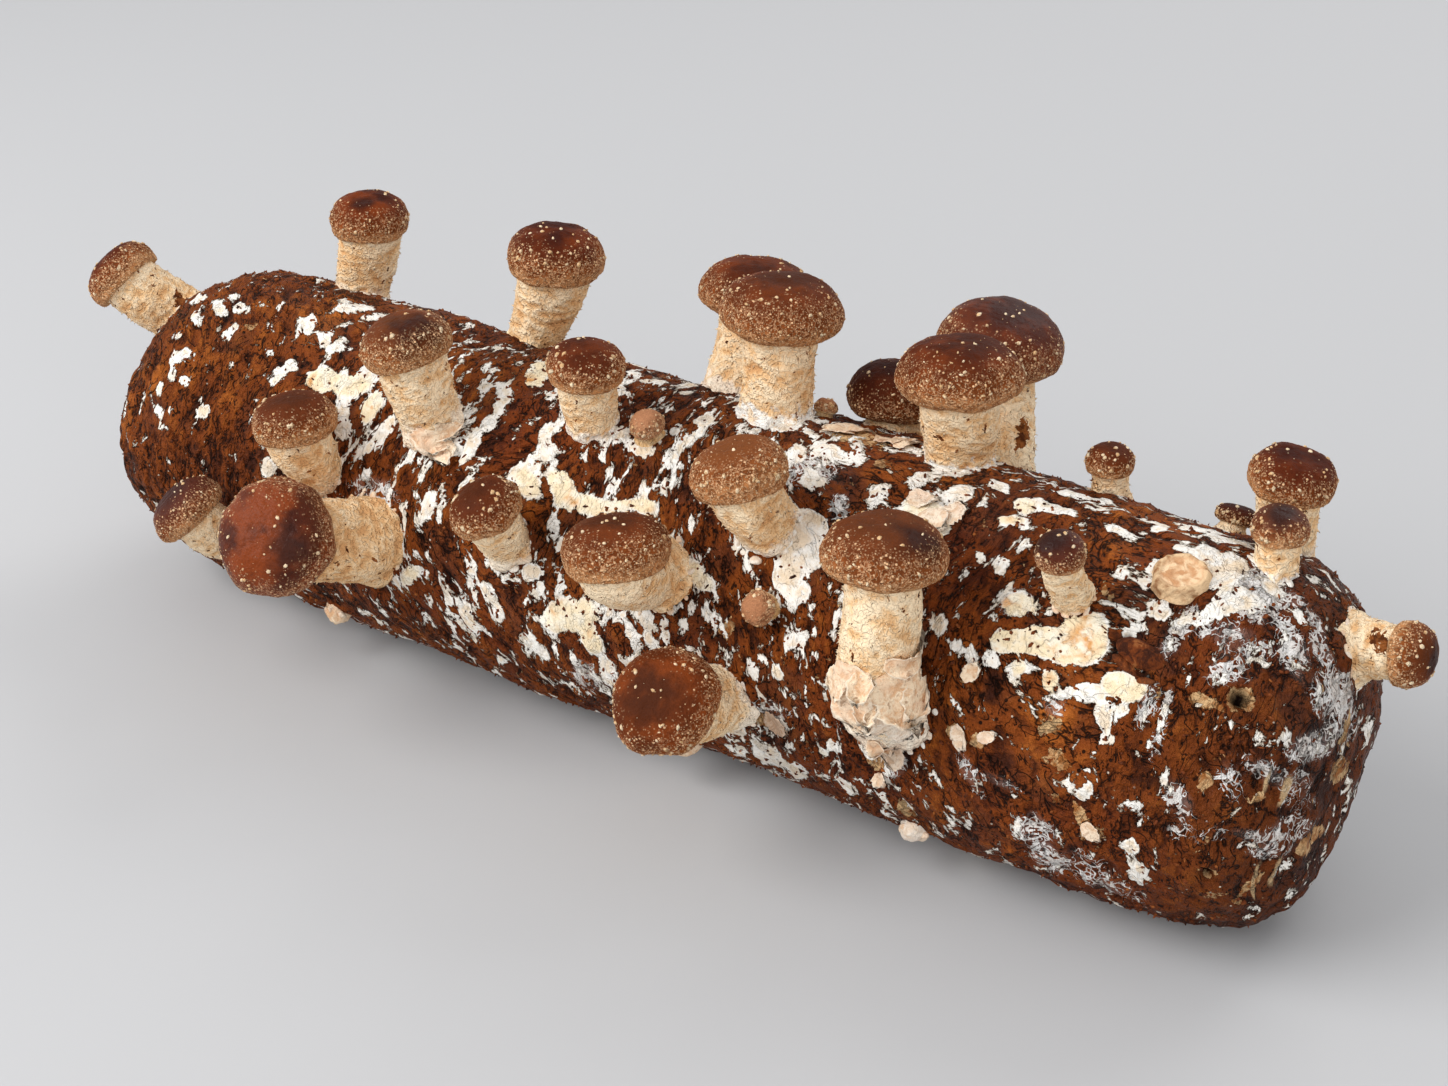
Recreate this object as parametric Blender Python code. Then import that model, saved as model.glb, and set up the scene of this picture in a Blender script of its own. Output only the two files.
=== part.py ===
"""A shiitake grow block: a rough brown log of sawdust and mycelium with mushrooms growing out of it.

The log lies along X on a flat strip. Z is up, and the floor is z = 0. Units are metres.
A place on the log is given by its x and by its angle around the log: 0 degrees is the top, 90 the front.
"""

import math

import bpy
from mathutils import Vector, noise
from mathutils.bvhtree import BVHTree

MM = 0.001
RADIUS = 0.050
HALF_LENGTH = 0.196
AXIS_HEIGHT = 0.048
LEFT_END, RIGHT_END = 0.0545, 0.0558
LEFT_POWER, RIGHT_POWER = 3.42, 3.68
GAP = 0.0003
FOOT_GAP = 0.0005

# Broad swellings and hollows of the log: centre x, y, z, reach and height, all in mm.
SWELLINGS = (
    (-185, -41, 50, 16, 0.8),
    (-152, -40, 20, 26, -3.2),
    (-60, 32, 88, 60, -0.9),
    (40, -40, 20, 36, -0.8),
    (78, 33, 86, 55, 1.3),
    (108, -36, 16, 40, 0.8),
    (140, 28, 90, 24, -1.4),
    (-178, -42, 25, 16, -1.3),
    (194, 26, 50, 18, 0.7),
    (194, 6, 26, 18, 0.5),
    (188, -10, 12, 20, 1.8),
)

# Each mushroom: x and degrees around of its foot, centre of its cap, width of the cap, width of the stem
# under the cap and at the log, tilt and heading of the cap, and how high the cap is for its width.
# A heading of 0 faces the front (-Y) and 90 faces +X. Lengths are in mm and angles in degrees.
MUSHROOMS = (
    (-192, 8, -207, -14, 95, 24, 19, 18, 47, -75, 0.32),
    (-131, 101, -133, -65, 54, 23, 15, 15, 40, -60, 0.33),
    (-140, -29, -136, 26, 116, 25, 23, 15, 3, 60, 0.30),
    (-98, 65, -99, -52, 87, 24, 19, 15, 6, -60, 0.30),
    (-77, 83, -84, -78, 65, 33.5, 23, 24, 56, 18, 0.36),
    (-67, 37, -69, -36, 112, 26, 19, 17, 15, -60, 0.31),
    (-70, -29, -65, 28, 118, 29, 22, 15, 5, 90, 0.30),
    (-27, 68, -26, -57, 82, 20.5, 15, 13, 24, -30, 0.33),
    (-18, 22, -18, -21, 112, 22, 17, 12, 4, 30, 0.31),
    (1, -33, 0, 38, 117, 33, 20, 21, 9, 160, 0.30),
    (21, 63, 18, -58, 83, 29, 22, 19, 10, -110, 0.29),
    (24, -10, 24, 12, 126, 34, 21, 18, 5, 180, 0.29),
    (48, 40, 43, -38, 104, 25.5, 20, 15, 14, -76, 0.32),
    (45, 97, 42, -71, 52, 29, 19, 18, 45, 0, 0.34),
    (50, -38, 48, 34, 98, 27, 15, 15, 6, 180, 0.38),
    (80, -13, 81, 7, 123, 33, 21, 18, 6, -120, 0.30),
    (94, 79, 93, -51, 101, 31, 18.5, 23, 6, -160, 0.30),
    (84, -37, 76, 42, 118, 34.5, 19, 16, 10, 110, 0.32),
    (118, -30, 118, 23, 102, 13, 10.5, 9, 4, 0, 0.33),
    (132, 33, 133, -39, 108, 12.5, 12, 9, 15, 0, 0.38),
    (148, -43, 148.5, 37, 88.5, 11.5, 7, 7, 22, 175, 0.26),
    (166, -33, 166, 23, 111, 22.5, 16, 12, 8, 90, 0.28),
    (171, -4, 171, 3, 107, 14, 12, 10, 5, 0, 0.36),
    (193, -14, 205.5, 5, 82, 16.5, 14.5, 16, 78, 86, 0.38),
)

# Young mushrooms no bigger than a pea: x, degrees around and width in mm.
PINS = ((1, 21, 9.5), (55, 63, 9.5), (35.5, -19, 6.5))

# Knobs of mycelium under the log: x, degrees around, width and height in mm.
NUBS = ((25, 132, 9, 5), (-102, 129, 8, 5), (98, 132, 8, 4.5))

# The round foot left where a mushroom was cut off: x, degrees around, width and height in mm.
STUMP = (154, 16, 13, 3)

BARK = (0.19, 0.075, 0.026, 1)
CAP_SKIN = (0.15, 0.070, 0.038, 1)
STEM_FLESH = (0.66, 0.50, 0.34, 1)
YOUNG_FLESH = (0.55, 0.38, 0.25, 1)


def material(name, colour, roughness):
    made = bpy.data.materials.new(name)
    made.use_nodes = True
    shader = made.node_tree.nodes["Principled BSDF"]
    shader.inputs["Base Color"].default_value = colour
    shader.inputs["Roughness"].default_value = roughness
    shader.inputs["Metallic"].default_value = 0.0
    made.diffuse_color = colour
    return made


def add_object(name, points, faces, colour, roughness, cut=False):
    mesh = bpy.data.meshes.new(name)
    mesh.from_pydata([tuple(point) for point in points], [], faces)
    mesh.update()
    made = bpy.data.objects.new(name, mesh)
    bpy.context.scene.collection.objects.link(made)
    mesh.materials.append(material(name, colour, roughness))
    mesh.shade_smooth()
    if cut:
        mesh.set_sharp_from_angle(angle=math.radians(50))
    return made


def swelling(place):
    """How far the log's surface stands out at this place, in metres."""
    total = 0.0
    for x, y, z, reach, height in SWELLINGS:
        away = (place - Vector((x, y, z)) * MM).length / (reach * MM)
        total += height * MM * math.exp(-away * away)
    total += 0.0011 * noise.noise(place * 34) + 0.0006 * noise.noise(place * 75)
    # The strip that the log lies on stays even.
    return total * min(1.0, max(0.0, (place.z - 0.001) / 0.008))


def even_surface(x, around):
    """A point of the log with no lumps on it, and the direction straight out of the log there."""
    end, power = (LEFT_END, LEFT_POWER) if x < 0 else (RIGHT_END, RIGHT_POWER)
    depth = min(1.0, max(0.0, (abs(x) - HALF_LENGTH + end) / end))
    rise = (1 - depth**power) ** (1 / power)
    lean = math.copysign(depth ** (power - 1) / end, x)
    side = math.radians(around)
    across, up = -math.sin(side), math.cos(side)
    grade = rise ** (power - 1) / RADIUS
    place = Vector((x, RADIUS * rise * across, AXIS_HEIGHT + RADIUS * rise * up))
    return place, Vector((lean, grade * across, grade * up)).normalized()


def log_point(x, around):
    place, out = even_surface(x, around)
    place += out * swelling(place)
    place.z = max(0.0, place.z)
    return place


def log_stations():
    """Places along X for the log's rings, close together where the ends turn in."""
    steps = 7
    left = []
    right = []
    for step in range(steps + 1):
        reach = math.cos(0.5 * math.pi * step / steps)
        left.append(-HALF_LENGTH + LEFT_END * (1 - reach ** (2 / LEFT_POWER)))
        right.append(HALF_LENGTH - RIGHT_END * (1 - reach ** (2 / RIGHT_POWER)))
    start, stop = left[-1], right[-1]
    count = 31
    middle = [start + (stop - start) * i / count for i in range(1, count)]
    return left + middle + right[::-1]


def make_log():
    around_steps = 30
    stations = log_stations()
    points = [log_point(stations[0], 0)]
    for x in stations[1:-1]:
        points += [log_point(x, 360 * (i + 0.5) / around_steps) for i in range(around_steps)]
    points.append(log_point(stations[-1], 0))
    last = len(points) - 1
    rings = len(stations) - 2
    faces = []
    for i in range(around_steps):
        after = (i + 1) % around_steps
        faces.append((0, 1 + after, 1 + i))
        end = 1 + (rings - 1) * around_steps
        faces.append((last, end + i, end + after))
        for ring in range(rings - 1):
            here = 1 + ring * around_steps
            there = here + around_steps
            faces.append((here + i, there + after, there + i))
            faces.append((here + i, here + after, there + after))
    return add_object("log", points, faces, BARK, 0.85)


def surface(x, around):
    """A point on the log's real facets, and the direction straight out there."""
    place, out = even_surface(x, around)
    return LOG_TREE.ray_cast(place + out * 0.02, -out)[0], out


def side_axes(axis):
    """Two directions square to the axis, the first as level as it can be."""
    across = Vector((0, 0, 1)).cross(axis)
    if across.length < 0.05:
        across = Vector((1, 0, 0))
    across.normalize()
    return across, axis.cross(across)


def heading_axis(tilt, heading):
    tilt, heading = math.radians(tilt), math.radians(heading)
    return Vector((math.sin(tilt) * math.sin(heading), -math.sin(tilt) * math.cos(heading), math.cos(tilt)))


def turned(rings, start, end):
    """Closed faces over rings of points, listed from the start point to the end point."""
    points = [start]
    for ring in rings:
        points += ring
    points.append(end)
    count = len(rings[0])
    last = len(points) - 1
    faces = []
    for i in range(count):
        after = (i + 1) % count
        faces.append((0, 1 + after, 1 + i))
        faces.append((last, last - count + i, last - count + after))
        for ring in range(len(rings) - 1):
            here = 1 + ring * count
            there = here + count
            faces.append((here + i, here + after, there + after))
            faces.append((here + i, there + after, there + i))
    return points, faces


def wobble(place, amount):
    return 1 + amount * noise.noise(place * 60)


def make_cap(name, centre, axis, width, dome, stem_width):
    """A cap with its margin rolled in, its underside flat above the stem. Listed from the top down."""
    across, along = side_axes(axis)
    count = 14 if width > 0.018 else 10
    neck = max(0.34, min(0.43, 0.5 * stem_width / width + 0.04))
    lip = min(0.46, neck + 0.05)
    profile = (
        (0.24, 0.90 * dome),
        (0.41, 0.60 * dome),
        (0.495, 0.12 * dome),
        (0.49, -0.09),
        (lip, -0.155),
        (neck, -0.13),
    )
    rings = []
    for reach, height in profile:
        ring = []
        for i in range(count):
            turn = 2 * math.pi * i / count
            out = across * math.cos(turn) + along * math.sin(turn)
            grow = wobble(centre + out * width, 0.07)
            ring.append(centre + out * (reach * width * grow) + axis * (height * width))
        rings.append(ring)
    top = centre + axis * (dome * width)
    under = centre - axis * (0.13 * width)
    points, faces = turned(rings[::-1], under, top)
    return add_object(name, points, faces, CAP_SKIN, 0.6)


def clear_of_log(point, least):
    """The point, moved out of the log if it is nearer than this."""
    near, normal = LOG_TREE.find_nearest(point)[:2]
    if (point - near).dot(normal) < least:
        return near + normal * least
    return point


def foot_rings(foot, out, reach, count, turn_axes):
    """Rings that lie on the log just above its facets, from the middle of a foot to its edge."""
    across, along = turn_axes
    rings = []
    for part in (0.55, 1.0):
        ring = []
        for i in range(count):
            turn = 2 * math.pi * i / count
            side = across * math.cos(turn) + along * math.sin(turn)
            place = foot + side * (reach * part * wobble(foot + side * 0.02, 0.25 * part))
            hit = LOG_TREE.ray_cast(place + out * 0.02, -out)[0]
            if hit is None:
                hit = place
            ring.append(hit + out * FOOT_GAP)
        rings.append(ring)
    return rings


def make_stem(name, foot, out, cap_centre, axis, cap_width, top_width, foot_width):
    """A stem that leaves the log straight out and bends to meet its cap square on."""
    count = 12 if cap_width > 0.018 else 8
    top = cap_centre - axis * (0.13 * cap_width + GAP)
    reach = (top - foot).length
    leave = foot + (out * 0.7 + axis * 0.3) * (0.4 * reach)
    arrive = top - axis * (0.36 * reach)
    across, along = side_axes(out)
    rings = foot_rings(foot, out, 0.5 * foot_width, count, (across, along))
    neck = max(0.34, min(0.43, 0.5 * top_width / cap_width + 0.04)) * cap_width
    top_reach = min(0.5 * top_width, neck - 2 * GAP)
    steps = 4
    for step in range(1, steps + 1):
        t = step / steps
        s = 1 - t
        middle = foot * s**3 + leave * (3 * s * s * t) + arrive * (3 * s * t * t) + top * t**3
        run = (leave - foot) * (s * s) + (arrive - leave) * (2 * s * t) + (top - arrive) * (t * t)
        run.normalize()
        # The sideways directions are carried along the bend, so the stem doesn't twist.
        across = (across - run * across.dot(run)).normalized()
        along = run.cross(across)
        wide = 0.5 * (foot_width * s**1.6 + top_width * (1 - s**1.6))
        if step == steps:
            wide = top_reach
        ring = []
        for i in range(count):
            turn = 2 * math.pi * i / count
            side = across * math.cos(turn) + along * math.sin(turn)
            place = middle + side * (wide * wobble(middle + side * 0.02, 0.14 if step < steps else 0.02))
            place = clear_of_log(place, 0.0012)
            # Every ring but the last stays below the cap.
            over = (place - top).dot(axis) + 0.0003 * (steps - step)
            if over > 0:
                place -= axis * over
            ring.append(place)
        rings.append(ring)
    start = LOG_TREE.ray_cast(foot + out * 0.02, -out)[0] + out * FOOT_GAP
    points, faces = turned(rings, start, top)
    return add_object(name, points, faces, STEM_FLESH, 0.8)


def make_lump(name, x, around, profile, width, colour, flat=False):
    """A small round growth on the log, from a profile of (part of its width, height in mm)."""
    foot, out = surface(x * MM, around)
    count = 10
    axes = side_axes(out)
    rings = foot_rings(foot, out, 0.5 * profile[0][0] * width * MM, count, axes)
    for part, height in profile[1:]:
        ring = []
        for i in range(count):
            turn = 2 * math.pi * i / count
            side = axes[0] * math.cos(turn) + axes[1] * math.sin(turn)
            grow = wobble(foot + side * 0.01, 0.3)
            ring.append(foot + side * (0.5 * part * width * MM * grow) + out * (height * MM))
        rings.append(ring)
    start = LOG_TREE.ray_cast(foot + out * 0.02, -out)[0] + out * FOOT_GAP
    rise = profile[-1][1] * MM + (0.0 if flat else 0.06 * width * MM)
    points, faces = turned(rings, start, foot + out * rise)
    return add_object(name, points, faces, colour, 0.8, flat)


for old in list(bpy.data.objects):
    bpy.data.objects.remove(old)

log = make_log()
LOG_TREE = BVHTree.FromPolygons(
    [vertex.co.copy() for vertex in log.data.vertices],
    [tuple(face.vertices) for face in log.data.polygons],
)

for number, entry in enumerate(MUSHROOMS, start=1):
    x, around, cx, cy, cz, cap_width, top_width, foot_width, tilt, heading, dome = entry
    cap_centre = Vector((cx, cy, cz)) * MM
    cap_axis = heading_axis(tilt, heading)
    foot, out = surface(x * MM, around)
    make_cap(f"cap_{number:02}", cap_centre, cap_axis, cap_width * MM, dome, top_width * MM)
    make_stem(
        f"stem_{number:02}",
        foot,
        out,
        cap_centre,
        cap_axis,
        cap_width * MM,
        top_width * MM,
        foot_width * MM,
    )

for number, (x, around, width) in enumerate(PINS, start=1):
    profile = ((0.7, 0), (0.72, 0.25 * width), (1.0, 0.42 * width), (0.9, 0.66 * width), (0.5, 0.82 * width))
    make_lump(f"pin_{number:02}", x, around, profile, width, YOUNG_FLESH)

for number, (x, around, width, height) in enumerate(NUBS, start=1):
    profile = ((1.0, 0), (1.04, 0.35 * height), (0.8, 0.75 * height), (0.4, 0.95 * height))
    make_lump(f"nub_{number:02}", x, around, profile, width, STEM_FLESH)

x, around, width, height = STUMP
profile = ((1.0, 0), (0.98, 0.6 * height), (0.92, height))
make_lump("cut_stump", x, around, profile, width, STEM_FLESH, True)
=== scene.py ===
"""Looks of a shiitake grow block: bark, white growth and mushrooms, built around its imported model.

Units are metres, Z is up and the floor is z = 0. A place on the log is given by its x and by its
angle around the log: 0 degrees is the top, 90 the front.
"""

import itertools
import math

import bpy
import numpy as np
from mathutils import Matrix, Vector, noise
from mathutils.bvhtree import BVHTree


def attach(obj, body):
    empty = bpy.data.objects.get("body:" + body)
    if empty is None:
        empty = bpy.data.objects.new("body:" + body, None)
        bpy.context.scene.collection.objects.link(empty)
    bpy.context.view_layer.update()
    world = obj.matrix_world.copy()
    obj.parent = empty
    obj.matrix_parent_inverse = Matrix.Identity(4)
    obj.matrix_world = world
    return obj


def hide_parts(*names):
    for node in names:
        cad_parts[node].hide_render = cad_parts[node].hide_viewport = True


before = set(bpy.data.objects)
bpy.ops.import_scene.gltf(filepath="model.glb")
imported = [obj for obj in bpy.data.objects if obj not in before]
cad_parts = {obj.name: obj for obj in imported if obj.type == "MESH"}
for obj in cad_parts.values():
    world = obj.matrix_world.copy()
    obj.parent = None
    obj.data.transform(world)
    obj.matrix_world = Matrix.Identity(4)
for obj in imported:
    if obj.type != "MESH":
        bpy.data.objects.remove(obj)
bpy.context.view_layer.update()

MM = 0.001
RADIUS = 0.050
HALF_LENGTH = 0.196
AXIS_HEIGHT = 0.048
LEFT_END, RIGHT_END = 0.0545, 0.0558
LEFT_POWER, RIGHT_POWER = 3.42, 3.68

# The log's mesh: points round it and rings along it, with the two end points.
LOG_SIDES, LOG_STATIONS = 262, 370

# A height over the log that is clear of its relief.
CLEAR = 0.020

# How many crumbs of bark are tried. Those low on the log are left out.
CHIPS = 5000

# The camera, which stands where the photo was taken from.
PHOTO_WIDTH, PHOTO_HEIGHT = 1448, 1086
LENS, SENSOR = 55, 36
AZIMUTH, ELEVATION, DISTANCE = math.radians(33.2), math.radians(28.7), 0.6285
AIM = np.array((0.0133, 0, 0.0569))
LEVEL = math.cos(ELEVATION)
TOWARD_CAMERA = np.array((math.sin(AZIMUTH) * LEVEL, -math.cos(AZIMUTH) * LEVEL, math.sin(ELEVATION)))
RIGHTWARD = np.array((math.cos(AZIMUTH), math.sin(AZIMUTH), 0))
UPWARD = np.cross(TOWARD_CAMERA, RIGHTWARD)
EYE = AIM + TOWARD_CAMERA * DISTANCE

# Broad swellings and hollows of the log: centre x, y, z, reach and height, all in mm.
SWELLINGS = (
    (-185, -41, 50, 16, 0.8), (-152, -40, 20, 26, -3.2), (-60, 32, 88, 60, -0.9),
    (40, -40, 20, 36, -0.8), (78, 33, 86, 55, 1.3), (108, -36, 16, 40, 0.8),
    (140, 28, 90, 24, -1.4), (-178, -42, 25, 16, -1.3), (194, 26, 50, 18, 0.7),
    (194, 6, 26, 18, 0.5), (188, -10, 12, 20, 1.8),
)

# Gentle waves all over it: their height in metres and how many there are to the metre.
WAVES = ((0.0011, 34), (0.0006, 75))

# Each mushroom: x and degrees around of its foot, centre of its cap, width of the cap, width of the stem
# under the cap and at the log, tilt and heading of the cap, and how high the cap is for its width.
# A heading of 0 faces the front (-Y) and 90 faces +X. Lengths are in mm and angles in degrees.
MUSHROOMS = (
    (-192, 8, -207, -14, 95, 24, 19, 18, 47, -75, 0.32),
    (-131, 101, -133, -65, 54, 23, 15, 15, 40, -60, 0.33),
    (-140, -29, -136, 26, 116, 25, 23, 15, 3, 60, 0.30),
    (-98, 65, -99, -52, 87, 24, 19, 15, 6, -60, 0.30),
    (-77, 83, -84, -78, 65, 33.5, 23, 24, 56, 18, 0.36),
    (-67, 37, -69, -36, 112, 26, 19, 17, 15, -60, 0.31),
    (-70, -29, -65, 28, 118, 29, 22, 15, 5, 90, 0.30),
    (-27, 68, -26, -57, 82, 20.5, 15, 13, 24, -30, 0.33),
    (-18, 22, -18, -21, 112, 22, 17, 12, 4, 30, 0.31),
    (1, -33, 0, 38, 117, 33, 20, 21, 9, 160, 0.30),
    (21, 63, 18, -58, 83, 29, 22, 19, 10, -110, 0.29),
    (24, -10, 24, 12, 126, 34, 21, 18, 5, 180, 0.29),
    (48, 40, 43, -38, 104, 25.5, 20, 15, 14, -76, 0.32),
    (45, 97, 42, -71, 52, 29, 19, 18, 45, 0, 0.34),
    (50, -38, 48, 34, 98, 27, 15, 15, 6, 180, 0.38),
    (80, -13, 81, 7, 123, 33, 21, 18, 6, -120, 0.30),
    (94, 79, 93, -51, 101, 31, 18.5, 23, 6, -160, 0.30),
    (84, -37, 76, 42, 118, 34.5, 19, 16, 10, 110, 0.32),
    (118, -30, 118, 23, 102, 13, 10.5, 9, 4, 0, 0.33),
    (132, 33, 133, -39, 108, 12.5, 12, 9, 15, 0, 0.38),
    (148, -43, 148.5, 37, 88.5, 11.5, 7, 7, 22, 175, 0.26),
    (166, -33, 166, 23, 111, 22.5, 16, 12, 8, 90, 0.28),
    (171, -4, 171, 3, 107, 14, 12, 10, 5, 0, 0.36),
    (193, -14, 205.5, 5, 82, 16.5, 14.5, 16, 78, 86, 0.38),
)

# Young mushrooms no bigger than a pea: x, degrees around and width in mm.
PINS = ((1, 21, 9.5), (55, 63, 9.5), (35.5, -19, 6.5))

# Knobs under the log: x, degrees around, width and height in mm.
NUBS = ((23, 131, 11, 5.5), (-102, 129, 8, 5), (98, 132, 8, 4.5))

# The round foot left where a mushroom was cut off: x, degrees around, width and height in mm.
STUMP = (154, 16, 13, 3)


# Small helpers


def unit(vector):
    return vector / np.linalg.norm(vector)


def held(value):
    """The value held between 0 and 1."""
    return np.clip(value, 0, 1)


def run_along(line):
    """How far along a line each of its points lies."""
    return np.concatenate([[0], np.cumsum(np.linalg.norm(np.diff(line, axis=0), axis=1))])


def around_axis(across, along, count):
    """Directions at even turns between two that are square to each other."""
    turn = 2 * np.pi * np.arange(count) / count
    return np.outer(np.cos(turn), across) + np.outer(np.sin(turn), along)


def in_scene(name, data):
    made = bpy.data.objects.new(name, data)
    bpy.context.scene.collection.objects.link(made)
    return made


# Smooth noise over many points at once

LATTICE = np.random.default_rng(11)
ORDER = np.tile(LATTICE.permutation(256), 2)
SLOPES = LATTICE.normal(size=(256, 3))
SLOPES /= np.linalg.norm(SLOPES, axis=1)[:, None]


def ripple(points, scale, shift=0.0):
    """Smooth noise between about -1 and 1 at each point, with `scale` lumps to the metre."""
    place = np.asarray(points, float) * scale + shift
    base = np.floor(place).astype(np.int64)
    part = place - base
    ease = part**3 * (part * (part * 6 - 15) + 10)
    total = np.zeros(len(place))
    for corner in itertools.product((0, 1), repeat=3):
        cell = (base + corner) & 255
        index = ORDER[ORDER[ORDER[cell[:, 0]] + cell[:, 1]] + cell[:, 2]]
        weight = np.where(corner, ease, 1 - ease).prod(1)
        total += weight * ((part - corner) * SLOPES[index]).sum(1)
    return 1.6 * total


def ripples(points, *parts):
    """The sum of several noises, each given by its amount, its scale and its shift."""
    return sum(amount * ripple(points, *rest) for amount, *rest in parts)


# The log's surface


def even_surface(x, around):
    """Points of the log with no lumps on it, and the directions straight out of it there."""
    x, around = np.broadcast_arrays(np.asarray(x, float), np.asarray(around, float))
    end = np.where(x < 0, LEFT_END, RIGHT_END)
    power = np.where(x < 0, LEFT_POWER, RIGHT_POWER)
    depth = held((np.abs(x) - HALF_LENGTH + end) / end)
    rise = np.maximum(0, 1 - depth**power) ** (1 / power)
    side = np.radians(around)
    across, up = -np.sin(side), np.cos(side)
    grade = rise ** (power - 1) / RADIUS
    lean = np.sign(x) * depth ** (power - 1) / end
    place = np.stack([x, RADIUS * rise * across, AXIS_HEIGHT + RADIUS * rise * up], -1)
    out = np.stack([lean, grade * across, grade * up], -1)
    return place, out / np.linalg.norm(out, axis=-1, keepdims=True)


def swelling(points):
    """How far the log's broad shape stands out at each point."""
    total = np.zeros(len(points))
    for x, y, z, reach, height in SWELLINGS:
        away = np.linalg.norm(points - np.array((x, y, z)) * MM, axis=1) / (reach * MM)
        total += height * MM * np.exp(-away * away)
    for i, point in enumerate(points):
        total[i] += sum(height * noise.noise(Vector(point) * scale) for height, scale in WAVES)
    return total * held((points[:, 2] - 0.001) / 0.008)


def stations(count):
    """Places along X an even distance apart along the log's outline."""
    rise = np.cos(np.linspace(0, np.pi / 2, 1500))
    left = LEFT_END * (1 - rise ** (2 / LEFT_POWER)) - HALF_LENGTH
    right = HALF_LENGTH - RIGHT_END * (1 - rise ** (2 / RIGHT_POWER))
    between = np.linspace(-HALF_LENGTH + LEFT_END, HALF_LENGTH - RIGHT_END, 800)[1:-1]
    fine = np.concatenate([left, between, right[::-1]])
    run = run_along(even_surface(fine, 0)[0])
    return np.interp(np.linspace(0, run[-1], count), run, fine)


def streaked(points, twist, long):
    """The points moved so that noise over them lies in streaks, which turn round the log by `twist` radians
    a metre and are 1 / `long` times as long as they are wide."""
    turn = twist * points[:, 0]
    y, z = points[:, 1], points[:, 2] - AXIS_HEIGHT
    turned_y, turned_z = y * np.cos(turn) - z * np.sin(turn), y * np.sin(turn) + z * np.cos(turn)
    return np.stack([points[:, 0] * long, turned_y, turned_z], -1)


def patch(points, x, around, long, wide, turn):
    """How deep each point lies in an oval on the log: 1 at its middle, 0 at its edge, negative outside.
    x, long and wide are in mm. A turn of 0 lies along X, and 90 round the log."""
    middle, out = even_surface(x * MM, around)
    ahead = unit(np.array((1.0, 0, 0)) - out * out[0])
    beside = np.cross(ahead, out)
    angle = math.radians(turn)
    main = ahead * math.cos(angle) + beside * math.sin(angle)
    side = beside * math.cos(angle) - ahead * math.sin(angle)
    away = points - middle
    parts = (away @ main / (long * MM), away @ side / (wide * MM), away @ out / CLEAR)
    return 1 - np.sqrt(sum(part**2 for part in parts))


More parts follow.
